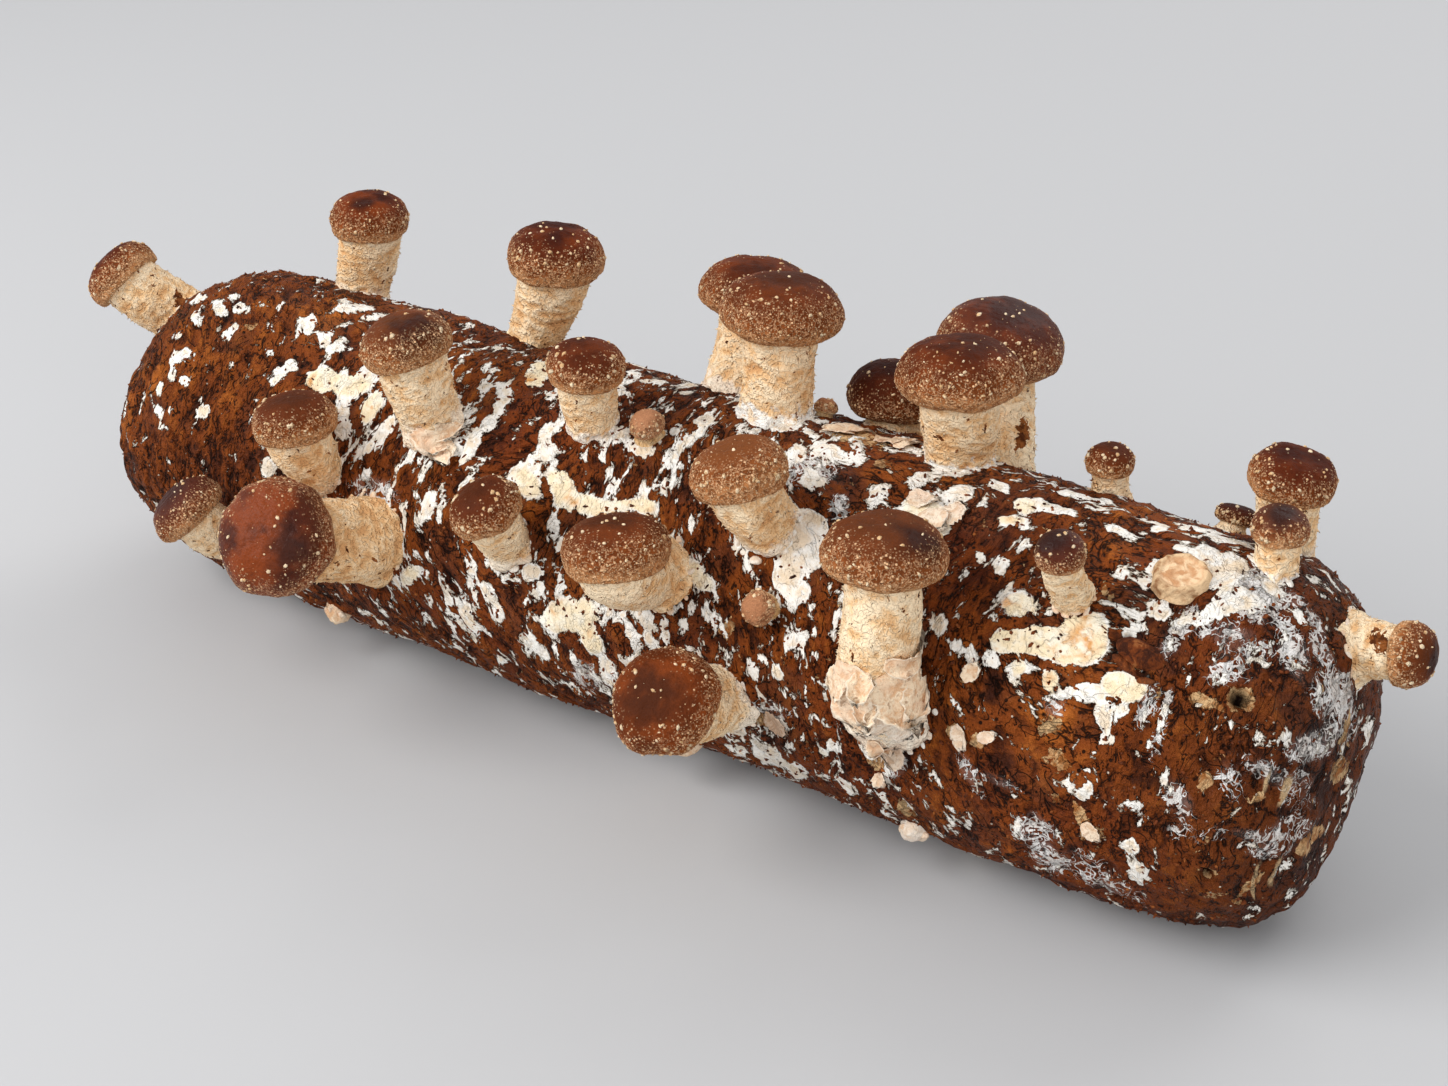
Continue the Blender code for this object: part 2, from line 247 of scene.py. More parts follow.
# Growth on the log's near side, as ovals in pixels of the photo: across, down, half length, half width,
# turn (0 across the picture, 90 up it) and strength.
WHITE = (
    (1074, 610, 9, 4, 90, 1.2), (1092, 692, 17, 9, 0, 1.2), (1108, 716, 15, 12, -60, 1.0),
    (1160, 612, 13, 9, 10, 1.2), (1222, 570, 30, 20, 10, 1.7), (1056, 697, 16, 5, 10, 1.0),
    (181, 356, 14, 7, 20, 1), (173, 374, 11, 5, 85, 1), (184, 380, 7, 5, 0, 0.9),
    (160, 390, 8, 3, 80, 0.8), (158, 412, 9, 5, -70, 0.8), (171, 410, 5, 4, 0, 0.7),
    (163, 427, 5, 4, 0, 0.7), (203, 412, 9, 6, 20, 1), (176, 336, 7, 3, 30, 0.8), (232, 330, 13, 4, 40, 1),
    (198, 320, 10, 6, -60, 0.9), (220, 309, 11, 5, -40, 0.9), (238, 307, 9, 6, 30, 0.9),
    (226, 299, 20, 4, 15, 0.9), (198, 300, 11, 4, 25, 0.8), (262, 304, 5, 2, 0, 0.7),
    (310, 322, 11, 5, 25, 0.9), (308, 331, 6, 4, 0, 0.8), (328, 338, 14, 4, 50, 1),
    (337, 347, 4, 4, 0, 0.8), (352, 309, 28, 5, 5, 0.8), (375, 316, 20, 4, 5, 0.8),
    (345, 325, 18, 3, 10, 0.7), (269, 354, 8, 6, -45, 0.9), (275, 375, 17, 10, 40, 1),
    (289, 365, 6, 6, 0, 0.8), (352, 390, 34, 9, 58, 1.2), (343, 425, 26, 8, 70, 1.1),
    (372, 374, 14, 10, 0, 1), (386, 428, 20, 7, 60, 0.95), (366, 450, 15, 5, 40, 0.9),
    (262, 447, 5, 5, 0, 0.7), (266, 466, 12, 6, 80, 0.8), (430, 505, 7, 16, -10, 0.9),
    (426, 520, 9, 9, 0, 0.8), (470, 448, 34, 6, 62, 1), (489, 424, 11, 6, 80, 1),
    (484, 392, 13, 4, 75, 0.8), (501, 402, 20, 4, 65, 0.8), (509, 394, 7, 5, 0, 0.7),
    (548, 430, 17, 6, 40, 0.9), (546, 450, 13, 9, 30, 0.9), (514, 440, 5, 4, 0, 0.8),
    (522, 468, 22, 9, 55, 1), (612, 490, 18, 6, 70, 1), (588, 487, 8, 4, 80, 0.8),
    (602, 455, 10, 3, 75, 0.7), (612, 437, 18, 9, 30, 1), (640, 448, 20, 9, -20, 1),
    (673, 455, 24, 6, 50, 1), (690, 440, 10, 5, 30, 0.8), (662, 487, 15, 7, 40, 0.9),
    (643, 492, 9, 4, 60, 0.8), (649, 507, 14, 7, -10, 1), (704, 422, 14, 7, 0, 1),
    (632, 372, 13, 4, 0, 0.8), (655, 381, 12, 3, -5, 0.8), (620, 390, 8, 7, 80, 0.8),
    (670, 433, 11, 3, 0, 0.7), (554, 520, 12, 6, 70, 0.9), (561, 545, 9, 6, 60, 0.8),
    (473, 568, 10, 5, 70, 0.8), (487, 590, 13, 6, -60, 0.85), (489, 563, 6, 3, 80, 0.7),
    (504, 583, 6, 3, 80, 0.7), (531, 572, 13, 9, -10, 1.1), (540, 590, 11, 8, 45, 0.9),
    (413, 556, 8, 6, 60, 0.8), (448, 601, 8, 4, -60, 0.7), (469, 617, 17, 6, -65, 0.8),
    (609, 610, 11, 5, -80, 1), (630, 631, 11, 5, -80, 1), (647, 620, 13, 6, -80, 1),
    (650, 640, 10, 5, -80, 0.9), (665, 630, 20, 5, -85, 1), (683, 628, 15, 8, 55, 1),
    (692, 608, 10, 4, 80, 0.9), (635, 660, 6, 4, 0, 0.8), (530, 640, 15, 6, -40, 0.9),
    (500, 655, 12, 4, -50, 0.8), (610, 672, 20, 9, -62, 1), (708, 612, 5, 5, 0, 0.7),
    (805, 528, 27, 20, -30, 1.5), (790, 560, 30, 18, -70, 1.5), (795, 598, 20, 12, 40, 1.2),
    (758, 546, 14, 8, 0, 1.1), (797, 640, 17, 9, 30, 0.95), (812, 612, 12, 8, 70, 0.9),
    (770, 618, 13, 6, 20, 0.9), (812, 657, 10, 5, 70, 0.8), (752, 670, 14, 5, -70, 0.85),
    (778, 672, 10, 6, -70, 0.85), (784, 692, 8, 4, -80, 0.7), (760, 752, 17, 5, -60, 0.95),
    (775, 757, 20, 7, -45, 0.95), (798, 770, 12, 7, -40, 0.95), (742, 750, 13, 4, -55, 0.9),
    (735, 728, 13, 7, -30, 0.9), (778, 706, 9, 5, -60, 0.9), (834, 745, 13, 5, -50, 1),
    (795, 455, 15, 10, 20, 1), (825, 450, 18, 8, 0, 0.9), (815, 480, 20, 7, 0, 0.8),
    (880, 492, 18, 9, 40, 0.9), (960, 495, 18, 11, 20, 1), (1000, 487, 15, 6, -15, 0.9),
    (785, 426, 28, 8, 0, 1.1), (752, 432, 10, 6, 0, 0.8), (950, 470, 32, 7, -10, 0.9),
    (915, 481, 16, 7, 20, 0.8), (1050, 507, 40, 8, -15, 0.75), (1080, 498, 40, 5, -18, 0.7),
    (1000, 565, 12, 9, 45, 1), (980, 558, 12, 5, -60, 0.8), (1025, 545, 12, 3, 45, 0.7),
    (938, 622, 14, 9, -70, 1.1), (955, 645, 12, 9, -40, 1), (1015, 668, 9, 8, 0, 1),
    (972, 655, 12, 8, 80, 1), (990, 657, 14, 11, -60, 1), (1050, 682, 16, 10, 80, 1),
    (1066, 692, 11, 5, 15, 0.9), (1086, 692, 17, 11, -20, 1), (1105, 717, 20, 12, -70, 1),
    (1120, 708, 11, 10, 0, 0.9), (1110, 740, 11, 7, 0, 0.9), (1130, 632, 12, 4, 45, 0.8),
    (1160, 605, 13, 6, 20, 0.9), (1155, 567, 10, 7, 40, 1), (1146, 583, 7, 3, 0, 0.7),
    (1205, 552, 18, 8, -5, 1.1), (1184, 549, 12, 6, -15, 0.9), (1120, 531, 27, 6, -25, 0.9),
    (1160, 529, 11, 4, 10, 0.8), (1186, 530, 9, 3, 10, 0.7), (1200, 531, 42, 3, -15, 0.8),
    (1232, 541, 30, 3, -8, 0.8), (1215, 572, 32, 17, -10, 1.5), (1238, 600, 36, 15, -15, 1.3),
    (1205, 616, 28, 11, 20, 1.1), (1130, 847, 13, 6, -20, 0.8), (1138, 872, 20, 10, -50, 0.8),
    (1085, 792, 17, 4, 40, 0.8), (890, 742, 19, 12, -30, 1), (880, 722, 12, 9, 0, 1.1),
    (848, 787, 17, 5, -40, 0.9), (865, 640, 12, 20, 0, 0.9), (1147, 705, 30, 3.5, 72, 0.9),
    (1163, 715, 26, 3, 78, 0.8), (1275, 588, 16, 7, -30, 0.9), (1300, 618, 14, 6, -50, 0.8),
    (800, 545, 30, 20, -50, 1.5), (812, 520, 18, 12, -30, 1.4), (783, 582, 16, 9, -60, 1.2),
)
CREAM = (
    (1080, 640, 30, 27, -60, 1.5), (1054, 646, 22, 14, 10, 1.4), (1020, 641, 26, 14, 8, 1.4),
    (1050, 682, 10, 15, 0, 1.2), (1122, 690, 24, 12, -25, 1.2), (1019, 667, 8, 8, 0, 1.3),
    (322, 381, 24, 15, 20, 1.2), (536, 376, 18, 13, 45, 1.2), (562, 485, 22, 14, -60, 1.3),
    (528, 484, 20, 13, -50, 1.2), (608, 508, 34, 9, 8, 1.2), (645, 506, 16, 8, -10, 1.1),
    (578, 503, 28, 11, 0, 1.3), (410, 575, 16, 9, 60, 1), (703, 582, 15, 10, -30, 1),
    (695, 570, 9, 8, 0, 1), (936, 520, 24, 15, -60, 1.2), (914, 507, 13, 12, 0, 1.2),
    (1025, 506, 14, 9, -10, 1), (1010, 521, 20, 4, -5, 0.9), (1020, 606, 24, 15, 0, 1.1),
    (1005, 642, 22, 13, 0, 1.3), (1038, 640, 22, 17, 0, 1.4), (1070, 642, 28, 22, 60, 1.4),
    (1095, 634, 26, 15, -80, 1.4), (1126, 685, 28, 13, -15, 1.3), (1222, 590, 10, 6, 0, 0.5),
    (572, 615, 36, 22, 5, 1.3), (592, 640, 18, 10, -55, 1.2), (352, 385, 26, 12, 10, 1.3),
    (372, 408, 22, 10, 60, 1.2),
)
LACE = (
    (1255, 600, 44, 24, -25, 1.3), (1180, 630, 34, 11, 55, 1.2), (1015, 602, 20, 17, 0, 1.0),
    (1225, 672, 30, 14, 0, 0.8), (1292, 640, 34, 12, -60, 1.2),
    (375, 492, 30, 18, -20, 0.9), (840, 506, 14, 10, 60, 0.9), (810, 470, 40, 18, 10, 0.8),
    (587, 675, 20, 14, -40, 1), (1147, 707, 28, 8, 70, 0.9), (1165, 707, 24, 5, 70, 0.9),
    (1157, 740, 26, 4, 72, 0.9), (1170, 642, 24, 8, 60, 0.9), (1262, 576, 28, 18, 0, 0.9),
    (1282, 600, 28, 12, -10, 0.9), (1222, 632, 40, 12, -5, 0.8), (1315, 622, 22, 6, -60, 0.8),
    (1322, 652, 26, 8, -65, 0.9), (1290, 660, 34, 7, -62, 0.8), (1325, 692, 28, 22, 80, 1),
    (1310, 747, 30, 17, 20, 1), (1342, 722, 28, 15, 80, 0.9), (1245, 652, 44, 12, 0, 0.5),
    (1268, 772, 34, 14, -30, 0.7), (1300, 790, 20, 24, 0, 0.6), (1255, 836, 34, 7, -10, 0.6),
    (1200, 832, 34, 16, 0, 0.5), (1035, 830, 26, 17, -30, 1), (1048, 856, 28, 14, -30, 0.9),
    (1085, 868, 34, 14, -25, 0.8), (1120, 890, 34, 8, -18, 0.6), (970, 772, 32, 8, -62, 0.7),
    (1000, 781, 26, 5, -25, 0.6), (893, 766, 15, 12, -40, 0.9), (765, 712, 28, 16, -10, 0.7),
    (1055, 705, 12, 16, 0, 0.7), (1230, 780, 26, 14, -60, 0.6), (1180, 800, 30, 14, -60, 0.6),
    (1290, 830, 30, 14, 20, 0.7), (1340, 690, 14, 40, 0, 1.0), (1270, 850, 30, 10, 10, 0.6),
)
TISSUE = (
    (252, 325, 8, 4, 20, 0.8), (862, 436, 48, 9, -10, 1), (905, 446, 18, 6, -20, 1),
    (885, 465, 14, 6, 0, 0.7), (727, 628, 16, 8, 70, 0.9), (765, 722, 16, 10, -30, 0.8),
    (965, 678, 14, 6, 10, 0.9), (1140, 655, 26, 14, -20, 0.6), (1150, 690, 20, 8, -10, 0.7),
    (1207, 702, 24, 7, -25, 1), (1240, 698, 14, 13, 0, 0.9), (1205, 782, 16, 8, 70, 0.8),
    (1255, 797, 14, 9, 0, 0.7), (1216, 896, 20, 4, 10, 0.8), (1245, 892, 28, 4, 45, 0.8),
    (1080, 816, 18, 8, -60, 0.9), (1092, 832, 15, 10, 0, 0.9), (955, 733, 17, 8, -60, 0.9),
    (980, 741, 11, 7, 0, 0.8), (1050, 726, 16, 12, 0, 0.8), (1057, 760, 18, 14, -40, 0.7),
    (873, 756, 19, 11, -75, 1), (905, 809, 16, 6, -35, 0.8), (845, 600, 14, 6, 20, 0.7),
    (532, 378, 8, 8, 0, 0.6), (1115, 590, 26, 16, 50, 0.5), (1340, 770, 20, 10, 70, 0.8),
    (1345, 730, 30, 6, 80, 0.7), (1310, 840, 30, 8, 60, 0.7),
)

# The four kinds of growth: the ovals on the near side, and on the hidden side the number of ovals, the
# seed of their draw, the range of their half lengths in mm and of their width for their length.
GROWTHS = (
    (WHITE, 330, 5, (2.5, 9.0), (0.25, 0.55)),
    (CREAM, 16, 6, (6, 14), (0.4, 0.6)),
    (LACE, 40, 7, (6, 15), (0.3, 0.7)),
    (TISSUE, 36, 8, (3, 8), (0.4, 0.7)),
)

# Crevices beside the brown fold, sunk in and darkened with painted shade, as ovals in the same way.
CREVICES = ((1113, 653, 12, 4, 65, 1.4), (1124, 641, 12, 4, 35, 1.4), (1147, 676, 9, 3, -30, 1.2))

# Broad areas with more or fewer flecks: x, degrees around, reach along and round the log (mm), amount.
FLECKED = (
    (-150, 60, 45, 60, -0.26), (-60, 50, 45, 60, 0.05), (20, 60, 60, 50, 0.06), (60, 112, 50, 18, 0.08),
    (60, -20, 120, 22, 0.10), (135, 85, 36, 34, -0.22), (185, 90, 30, 60, -0.20), (120, 30, 30, 25, -0.10),
)
FLECKS_EVERYWHERE = 0.26

# Round holes: x, degrees around, radius and depth in mm.
HOLES = ((178.2, 46, 2.3, 3.5), (179.3, 103, 1.8, 2.6))

# Raised folds and the grooves beside them: x, degrees around, half length, half width, turn, height in mm.
FOLDS = (
    (153, 47, 9, 1.6, -12, 0.9), (152, 52, 8, 1.2, -14, -0.8), (158, 55, 5, 1.3, 5, 0.7),
    (172, 50, 6, 1.4, 5, 0.5), (55, -11, 16, 1.6, 10, 0.8), (52, -15, 16, 2.4, 10, -0.6),
    (130, 44, 9, 1.3, 70, 0.5), (124, 50, 7, 1.2, 60, 0.4), (137, 43, 8, 1.3, 75, -0.4),
    (-4, 85, 8, 1.6, 60, 0.6), (0, 84, 7, 1.4, 70, 0.6), (-8, 86, 7, 1.4, 60, -0.5),
    (-105, 34, 6, 1.5, -20, 0.5),
)

# An oval's edge is softened by this many pixels, and points are looked for this far round it.
SOFT_EDGE, LOOK_ROUND = 2, 6


# Meshes from closed parts


def outward(points, triangles, quads):
    """The faces, turned round if they face into their closed shape."""
    corners = np.concatenate([triangles, quads[:, :3], quads[:, [0, 2, 3]]])
    if np.linalg.det(points[corners] - points.mean(0)).sum() < 0:
        return triangles[:, ::-1], quads[:, ::-1]
    return triangles, quads


def ring_faces(rings, count):
    """Faces over rings of `count` points each, between a start point and an end point."""
    last = 1 + rings * count
    here = np.arange(count)
    after = (here + 1) % count
    start = np.stack([np.zeros(count, int), 1 + after, 1 + here], 1)
    end = np.stack([np.full(count, last), last - count + here, last - count + after], 1)
    base = 1 + count * np.arange(rings - 1)[:, None]
    quads = np.stack([base + here, base + after, base + count + after, base + count + here], -1)
    return np.concatenate([start, end]), quads.reshape(-1, 4)


class Shape:
    """A mesh gathered from closed parts, with values at its points."""

    def __init__(self, **values):
        self.points, self.triangles, self.quads = [], [], []
        self.values = {name: [] for name in values}
        self.usual = values
        self.count = 0

    def add(self, points, triangles=(), quads=(), **values):
        triangles = np.asarray(triangles, int).reshape(-1, 3)
        quads = np.asarray(quads, int).reshape(-1, 4)
        triangles, quads = outward(points, triangles, quads)
        self.points.append(points)
        self.triangles.append(triangles + self.count)
        self.quads.append(quads + self.count)
        for name, rows in self.values.items():
            rows.append(np.broadcast_to(values.get(name, self.usual[name]), len(points)))
        self.count += len(points)

    def wrap(self, count, first, flat, last, **values):
        """Adds rings of `count` points, closed by a first and a last point. Three parts of a value are for
        the first point, the rings and the last point."""
        for name, value in values.items():
            if isinstance(value, tuple):
                values[name] = np.concatenate([[value[0]], value[1], [value[2]]])
        self.add(np.concatenate([[first], flat, [last]]), *ring_faces(len(flat) // count, count), **values)

    def stamp(self, pattern, triangles, centres, frames, **values):
        """Adds one copy of a small closed pattern for each centre and frame of three axes."""
        placed = np.einsum("...kj,...ji->...ki", pattern, frames) + np.asarray(centres)[:, None]
        triangles, _ = outward(placed[0], np.asarray(triangles), np.zeros((0, 4), int))
        size = placed.shape[1]
        starts = self.count + size * np.arange(len(placed))
        self.points.append(placed.reshape(-1, 3))
        self.triangles.append((triangles[None] + starts[:, None, None]).reshape(-1, 3))
        for name, rows in self.values.items():
            value = np.asarray(values.get(name, self.usual[name]), float)
            each = np.broadcast_to(value.reshape(-1, 1) if value.ndim == 1 else value, (len(placed), size))
            rows.append(each.ravel())
        self.count += len(placed) * size

    def build(self, name, material, **vectors):
        mesh = bpy.data.meshes.new(name)
        faces = [row for part in self.triangles + self.quads for row in part.tolist()]
        mesh.from_pydata(np.concatenate(self.points).tolist(), [], faces)
        mesh.materials.append(material)
        layers = [(key, "FLOAT", "value", np.concatenate(rows)) for key, rows in self.values.items()]
        layers += [(key, "FLOAT_VECTOR", "vector", rows) for key, rows in vectors.items()]
        for key, kind, field, rows in layers:
            layer = mesh.attributes.new(key, kind, "POINT")
            layer.data.foreach_set(field, rows.astype(np.float32).ravel())
        mesh.update()
        mesh.shade_smooth()
        return in_scene(name, mesh)


# The log


def in_photo(points):
    """Where points lie in the photo, in pixels across and down."""
    away = points - EYE
    scale = LENS / SENSOR * PHOTO_WIDTH / -(away @ TOWARD_CAMERA)
    return PHOTO_WIDTH / 2 + away @ RIGHTWARD * scale, PHOTO_HEIGHT / 2 - away @ UPWARD * scale


def lay(total, near, depth, strength, share):
    """Adds an oval of growth to the amounts, and less of it where there is growth already."""
    here = strength * held(1.8 * depth) * share[near]
    total[near] = np.maximum(total[near], here) + 0.35 * np.minimum(total[near], here)


def drawn(points, facing, rows):
    """How strongly the ovals of `rows`, drawn in the photo, cover each point of the log's near side."""
    across, down = in_photo(points)
    total = np.zeros(len(points))
    for u, v, long, wide, turn, strength in rows:
        far = np.maximum(np.abs(across - u), np.abs(down - v))
        near = np.flatnonzero((far < long + LOOK_ROUND) & (facing > 0))
        angle = math.radians(turn)
        du, dv = across[near] - u, v - down[near]
        ahead = du * math.cos(angle) + dv * math.sin(angle)
        beside = dv * math.cos(angle) - du * math.sin(angle)
        depth = 1 - np.hypot(ahead / (long + SOFT_EDGE), beside / (wide + SOFT_EDGE))
        lay(total, near, depth, strength, facing)
    return total


def scattered(points, hidden, count, seed, sizes, thinness):
    """Random ovals of growth on the side that the photo doesn't show."""
    draw = np.random.default_rng(seed)
    total = np.zeros(len(points))
    for _ in range(count):
        x = draw.uniform(-190, 190)
        around = draw.uniform(-175, 175)
        if x > 120 and around > 60:
            continue  # The photo shows this part of the right end.
        long = draw.uniform(*sizes)
        turn = draw.normal(90, 25) if abs(around + 30) > 40 or x < 40 else draw.normal(0, 20)
        strength = draw.uniform(0.75, 1.25)
        middle = even_surface(x * MM, around)[0]
        near = np.flatnonzero((np.abs(points - middle).max(1) < (long + 1) * MM) & (hidden > 0))
        if len(near):
            depth = patch(points[near], x, around, long, long * draw.uniform(*thinness), turn)
            lay(total, near, depth, strength, hidden)
    return total


def make_log(material):
    places = stations(LOG_STATIONS)
    turns = 360 * (np.arange(LOG_SIDES) + 0.5) / LOG_SIDES
    x, around = (part.ravel() for part in np.meshgrid(places[1:-1], turns, indexing="ij"))
    x = np.concatenate([places[:1], x, places[-1:]])
    even, out = even_surface(x, np.concatenate([[0], around, [0]]))
    points = even + out * swelling(even)[:, None]
    side = np.degrees(np.arctan2(-points[:, 1], points[:, 2] - AXIS_HEIGHT))
    across = points[:, 0] / MM

    toward = EYE - points
    toward /= np.linalg.norm(toward, axis=1)[:, None]
    facing = held(((toward * out).sum(1) + 0.04) * 7)
    hidden = 1 - facing

    # Streaks run round the log on its sides, and along it on the right half of its top.
    skew = (0.3 * ripple(points, 14, 2.0) + 0.2) * held((150 - across) / 40)
    hoop = (points - (0, 0, AXIS_HEIGHT)) * (1, 0.6, 0.6)
    hoop[:, 0] += skew * points[:, 2]
    length = streaked(points, 4, 0.42)
    lengthwise = held((across - 40) / 60) * np.exp(-(((side + 15) / 28) ** 2))

    coarse = ripples(points, (0.6, 55), (0.4, 105, 9.1))
    ridge = 1 - 2.4 * np.abs(ripple(hoop, 150, 3.3))
    plate = held(4 * np.abs(ripple(hoop, 95, 7.7)))
    fine = 0.6 * ripple(hoop, 340, 5.2) + 0.4 * ripple(points, 400, 1.4)
    relief = 0.45 * coarse + 0.3 * (ridge - 0.4) + 0.35 * (plate - 0.8) + 0.6 * fine

    white, cream, lace, tissue = (
        np.maximum(drawn(points, facing, ovals), scattered(points, hidden, *rest)) for ovals, *rest in GROWTHS
    )
    base = np.full(len(points), FLECKS_EVERYWHERE)
    for centre, angle, along, about, amount in FLECKED:
        base += amount * np.exp(-(((across - centre) / along) ** 2) - ((side - angle) / about) ** 2)
    milk = np.maximum(white, cream)
    cover = np.maximum(base, milk + 0.25 * base)

    # The skin of the right end is gathered in short folds round its edge.
    run = across + 1.6 * ripple(points, 50, 4.0) + 0.05 * side
    gathered = np.exp(-(((across - 189) / 5.5) ** 2)) * held((side - 55) / 12) * held((128 - side) / 12)
    pleat = np.sin(run * 2 * np.pi / 3.4) * gathered * held(0.5 + 1.6 * ripple(points, 95, 8.0))

    calm = 1 - 0.55 * held(milk * 1.4 - 0.3)
    height = 1.5 * relief * calm + 0.5 * np.clip(cover - 0.5, 0, 0.6) + 0.6 * pleat
    height += 0.7 * held(cream) * (0.8 - 2.2 * np.abs(ripple(hoop, 210, 6.0)))
    for centre, angle, long, wide, turn, rise in FOLDS:
        height += rise * held(patch(points, centre, angle, long * 1.4, wide * 1.4, turn)) ** 0.7
    # Crevices and the insides of holes are sunk in and darkened with painted shade.
    hollow = drawn(points, facing, CREVICES)
    height -= 0.8 * held(hollow)
    for centre, angle, radius, depth in HOLES:
        deep, rim = (patch(points, centre, angle, radius * wider, radius * wider, 0) for wider in (1.25, 2.0))
        height += 0.5 * held(rim * 1.5) - (depth + 0.5) * held(deep * 1.6)
        hollow = np.maximum(hollow, held(deep * 2.2))
        tissue = np.maximum(tissue, held(rim * 2) * 0.6)
        cover = np.where(rim > 0, np.minimum(cover, 0), cover)

    # The strip that the log lies on stays flat.
    height *= held((points[:, 2] / MM - 0.5) / 6)
    points = points + out * (height * MM)[:, None]
    points[:, 2] = np.maximum(points[:, 2], 0)

    values = {
        "relief": relief, "cover": cover, "cream": cream, "lace": lace, "tissue": tissue,
        # Tint is higher towards the left end and low on the right end, which it darkens: the right end's own
        # darker bark, and painted shade on the end that faces away from the key light.
        "tint": held(-(across + 60) / 110) - 0.8 * held((across - 150) / 40),
        "hollow": held(hollow), "pleat": pleat, "lengthwise": lengthwise,
    }
    shape = Shape(**dict.fromkeys(values, 0.0))
    shape.add(points, *ring_faces(LOG_STATIONS - 2, LOG_SIDES), **values)
    return shape.build("log_rind", material, hoop=hoop, length=length)


# Materials


def linear(red, green, blue):
    """A colour as a screen shows it, from 0 to 255, made linear."""
    parts = [value / 255 for value in (red, green, blue)]
    return tuple(p / 12.92 if p <= 0.04045 else ((p + 0.055) / 1.055) ** 2.4 for p in parts) + (1.0,)


class Paint:
    """A material whose nodes are added one call at a time. Colours are given as a screen shows them."""

    def __init__(self, name):
        self.material = bpy.data.materials.new(name)
        self.material.use_nodes = True
        self.tree = self.material.node_tree
        self.tree.nodes.clear()
        self.surface = self.node("BsdfPrincipled")
        self.node("OutputMaterial", Surface=self.surface.outputs[0])
        self.space = self.node("TexCoord").outputs["Object"]

    def feed(self, socket, value):
        """Links a value to a socket or sets it there. Three numbers are a colour."""
        if isinstance(value, bpy.types.NodeSocket):
            self.tree.links.new(value, socket)
        else:
            socket.default_value = linear(*value) if isinstance(value, tuple) else value

    def node(self, kind, *values, **named):
        """A new node with values at its first inputs, or at the inputs of the names given."""
        made = self.tree.nodes.new("ShaderNode" + kind)
        for socket, value in [*zip(made.inputs, values), *((made.inputs[key], named[key]) for key in named)]:
            self.feed(socket, value)
        return made

    def attribute(self, name, output="Fac"):
        node = self.node("Attribute")
        node.attribute_name = name
        return node.outputs[output]

    def read(self, names):
        """The values at the mesh's points, by their names with spaces between."""
        return [self.attribute(name) for name in names.split()]

    def noise(self, scale, detail=3.0, roughness=0.55, distortion=0.0, space=None):
        node = self.node("TexNoise", Vector=space or self.space, Scale=scale, Detail=detail)
        self.feed(node.inputs["Roughness"], roughness)
        self.feed(node.inputs["Distortion"], distortion)
        return node.outputs["Fac"]

    def cells(self, scale):
        """The distance to the nearest of many scattered points, and a random value of that point."""
        node = self.node("TexVoronoi", Vector=self.space, Scale=scale)
        return node.outputs["Distance"], node.outputs["Color"]

    def math(self, operation, *values):
        """One operation on a value, or on several values in turn."""
        first, *others = values
        for other in others or (0.0,):
            node = self.node("Math", first, other)
            node.operation = operation
            first = node.outputs[0]
        return first

    def times(self, *values):
        return self.math("MULTIPLY", *values)

    def add(self, *parts):
        """The sum of its parts. Where a part is several values, their product is added."""
        return self.math("ADD", *(self.times(*part) if isinstance(part, tuple) else part for part in parts))

    def less(self, value, other):
        return self.math("SUBTRACT", value, other)

    def rest(self, value):
        return self.less(1.0, value)

    def centred(self, noise):
        """A noise between 0 and 1 moved to lie round 0."""
        return self.less(noise, 0.5)

    def off(self, noise):
        """How far a noise is from its middle."""
        return self.math("ABSOLUTE", self.centred(noise))

    def ragged(self, noise, strength, amount):
        """Above 0 where there is much of something, within an edge that a noise makes ragged."""
        return self.add((self.centred(noise), strength), amount, -0.5)

    def span(self, value, low, high, start=0.0, stop=1.0, smooth=True):
        """The value with its range from low to high moved to the range from start to stop."""
        node = self.node("MapRange", value, low, high, start, stop)
        node.interpolation_type = "SMOOTHSTEP" if smooth else "LINEAR"
        return node.outputs[0]

    def line(self, noise, width):
        """1 where the noise crosses its middle, falling to 0 at `width` from it."""
        return self.span(self.off(noise), 0.0, width, 1.0, 0.0)

    def dots(self, scale, inner, outer, low, high):
        """Round dots, soft from `inner` to `outer`, at the points whose random value is over `low`."""
        away, pick = self.cells(scale)
        return self.times(self.span(away, inner, outer, 1.0, 0.0), self.span(pick, low, high))

    def blend(self, share, a, b):
        node = self.node("Mix")
        node.data_type = "RGBA"
        for index, value in ((0, share), (6, a), (7, b)):
            self.feed(node.inputs[index], value)
        return node.outputs[2]

    def layers(self, base, *covers):
        """A colour with others laid over it, each with its share."""
        for share, tint in covers:
            base = self.blend(share, base, tint)
        return base

    def finish(self, base, rough, specular, height=None, depth=0.0):
        """Gives the surface its colour, roughness and gloss, and relief `depth` metres deep."""
        self.feed(self.surface.inputs["Base Color"], base)
        self.feed(self.surface.inputs["Roughness"], rough)
        self.feed(self.surface.inputs["Specular IOR Level"], specular)
        if height:
            relief = self.node("Bump", Height=height, Distance=depth, Strength=1.0)
            self.feed(self.surface.inputs["Normal"], relief.outputs[0])
        return self.material


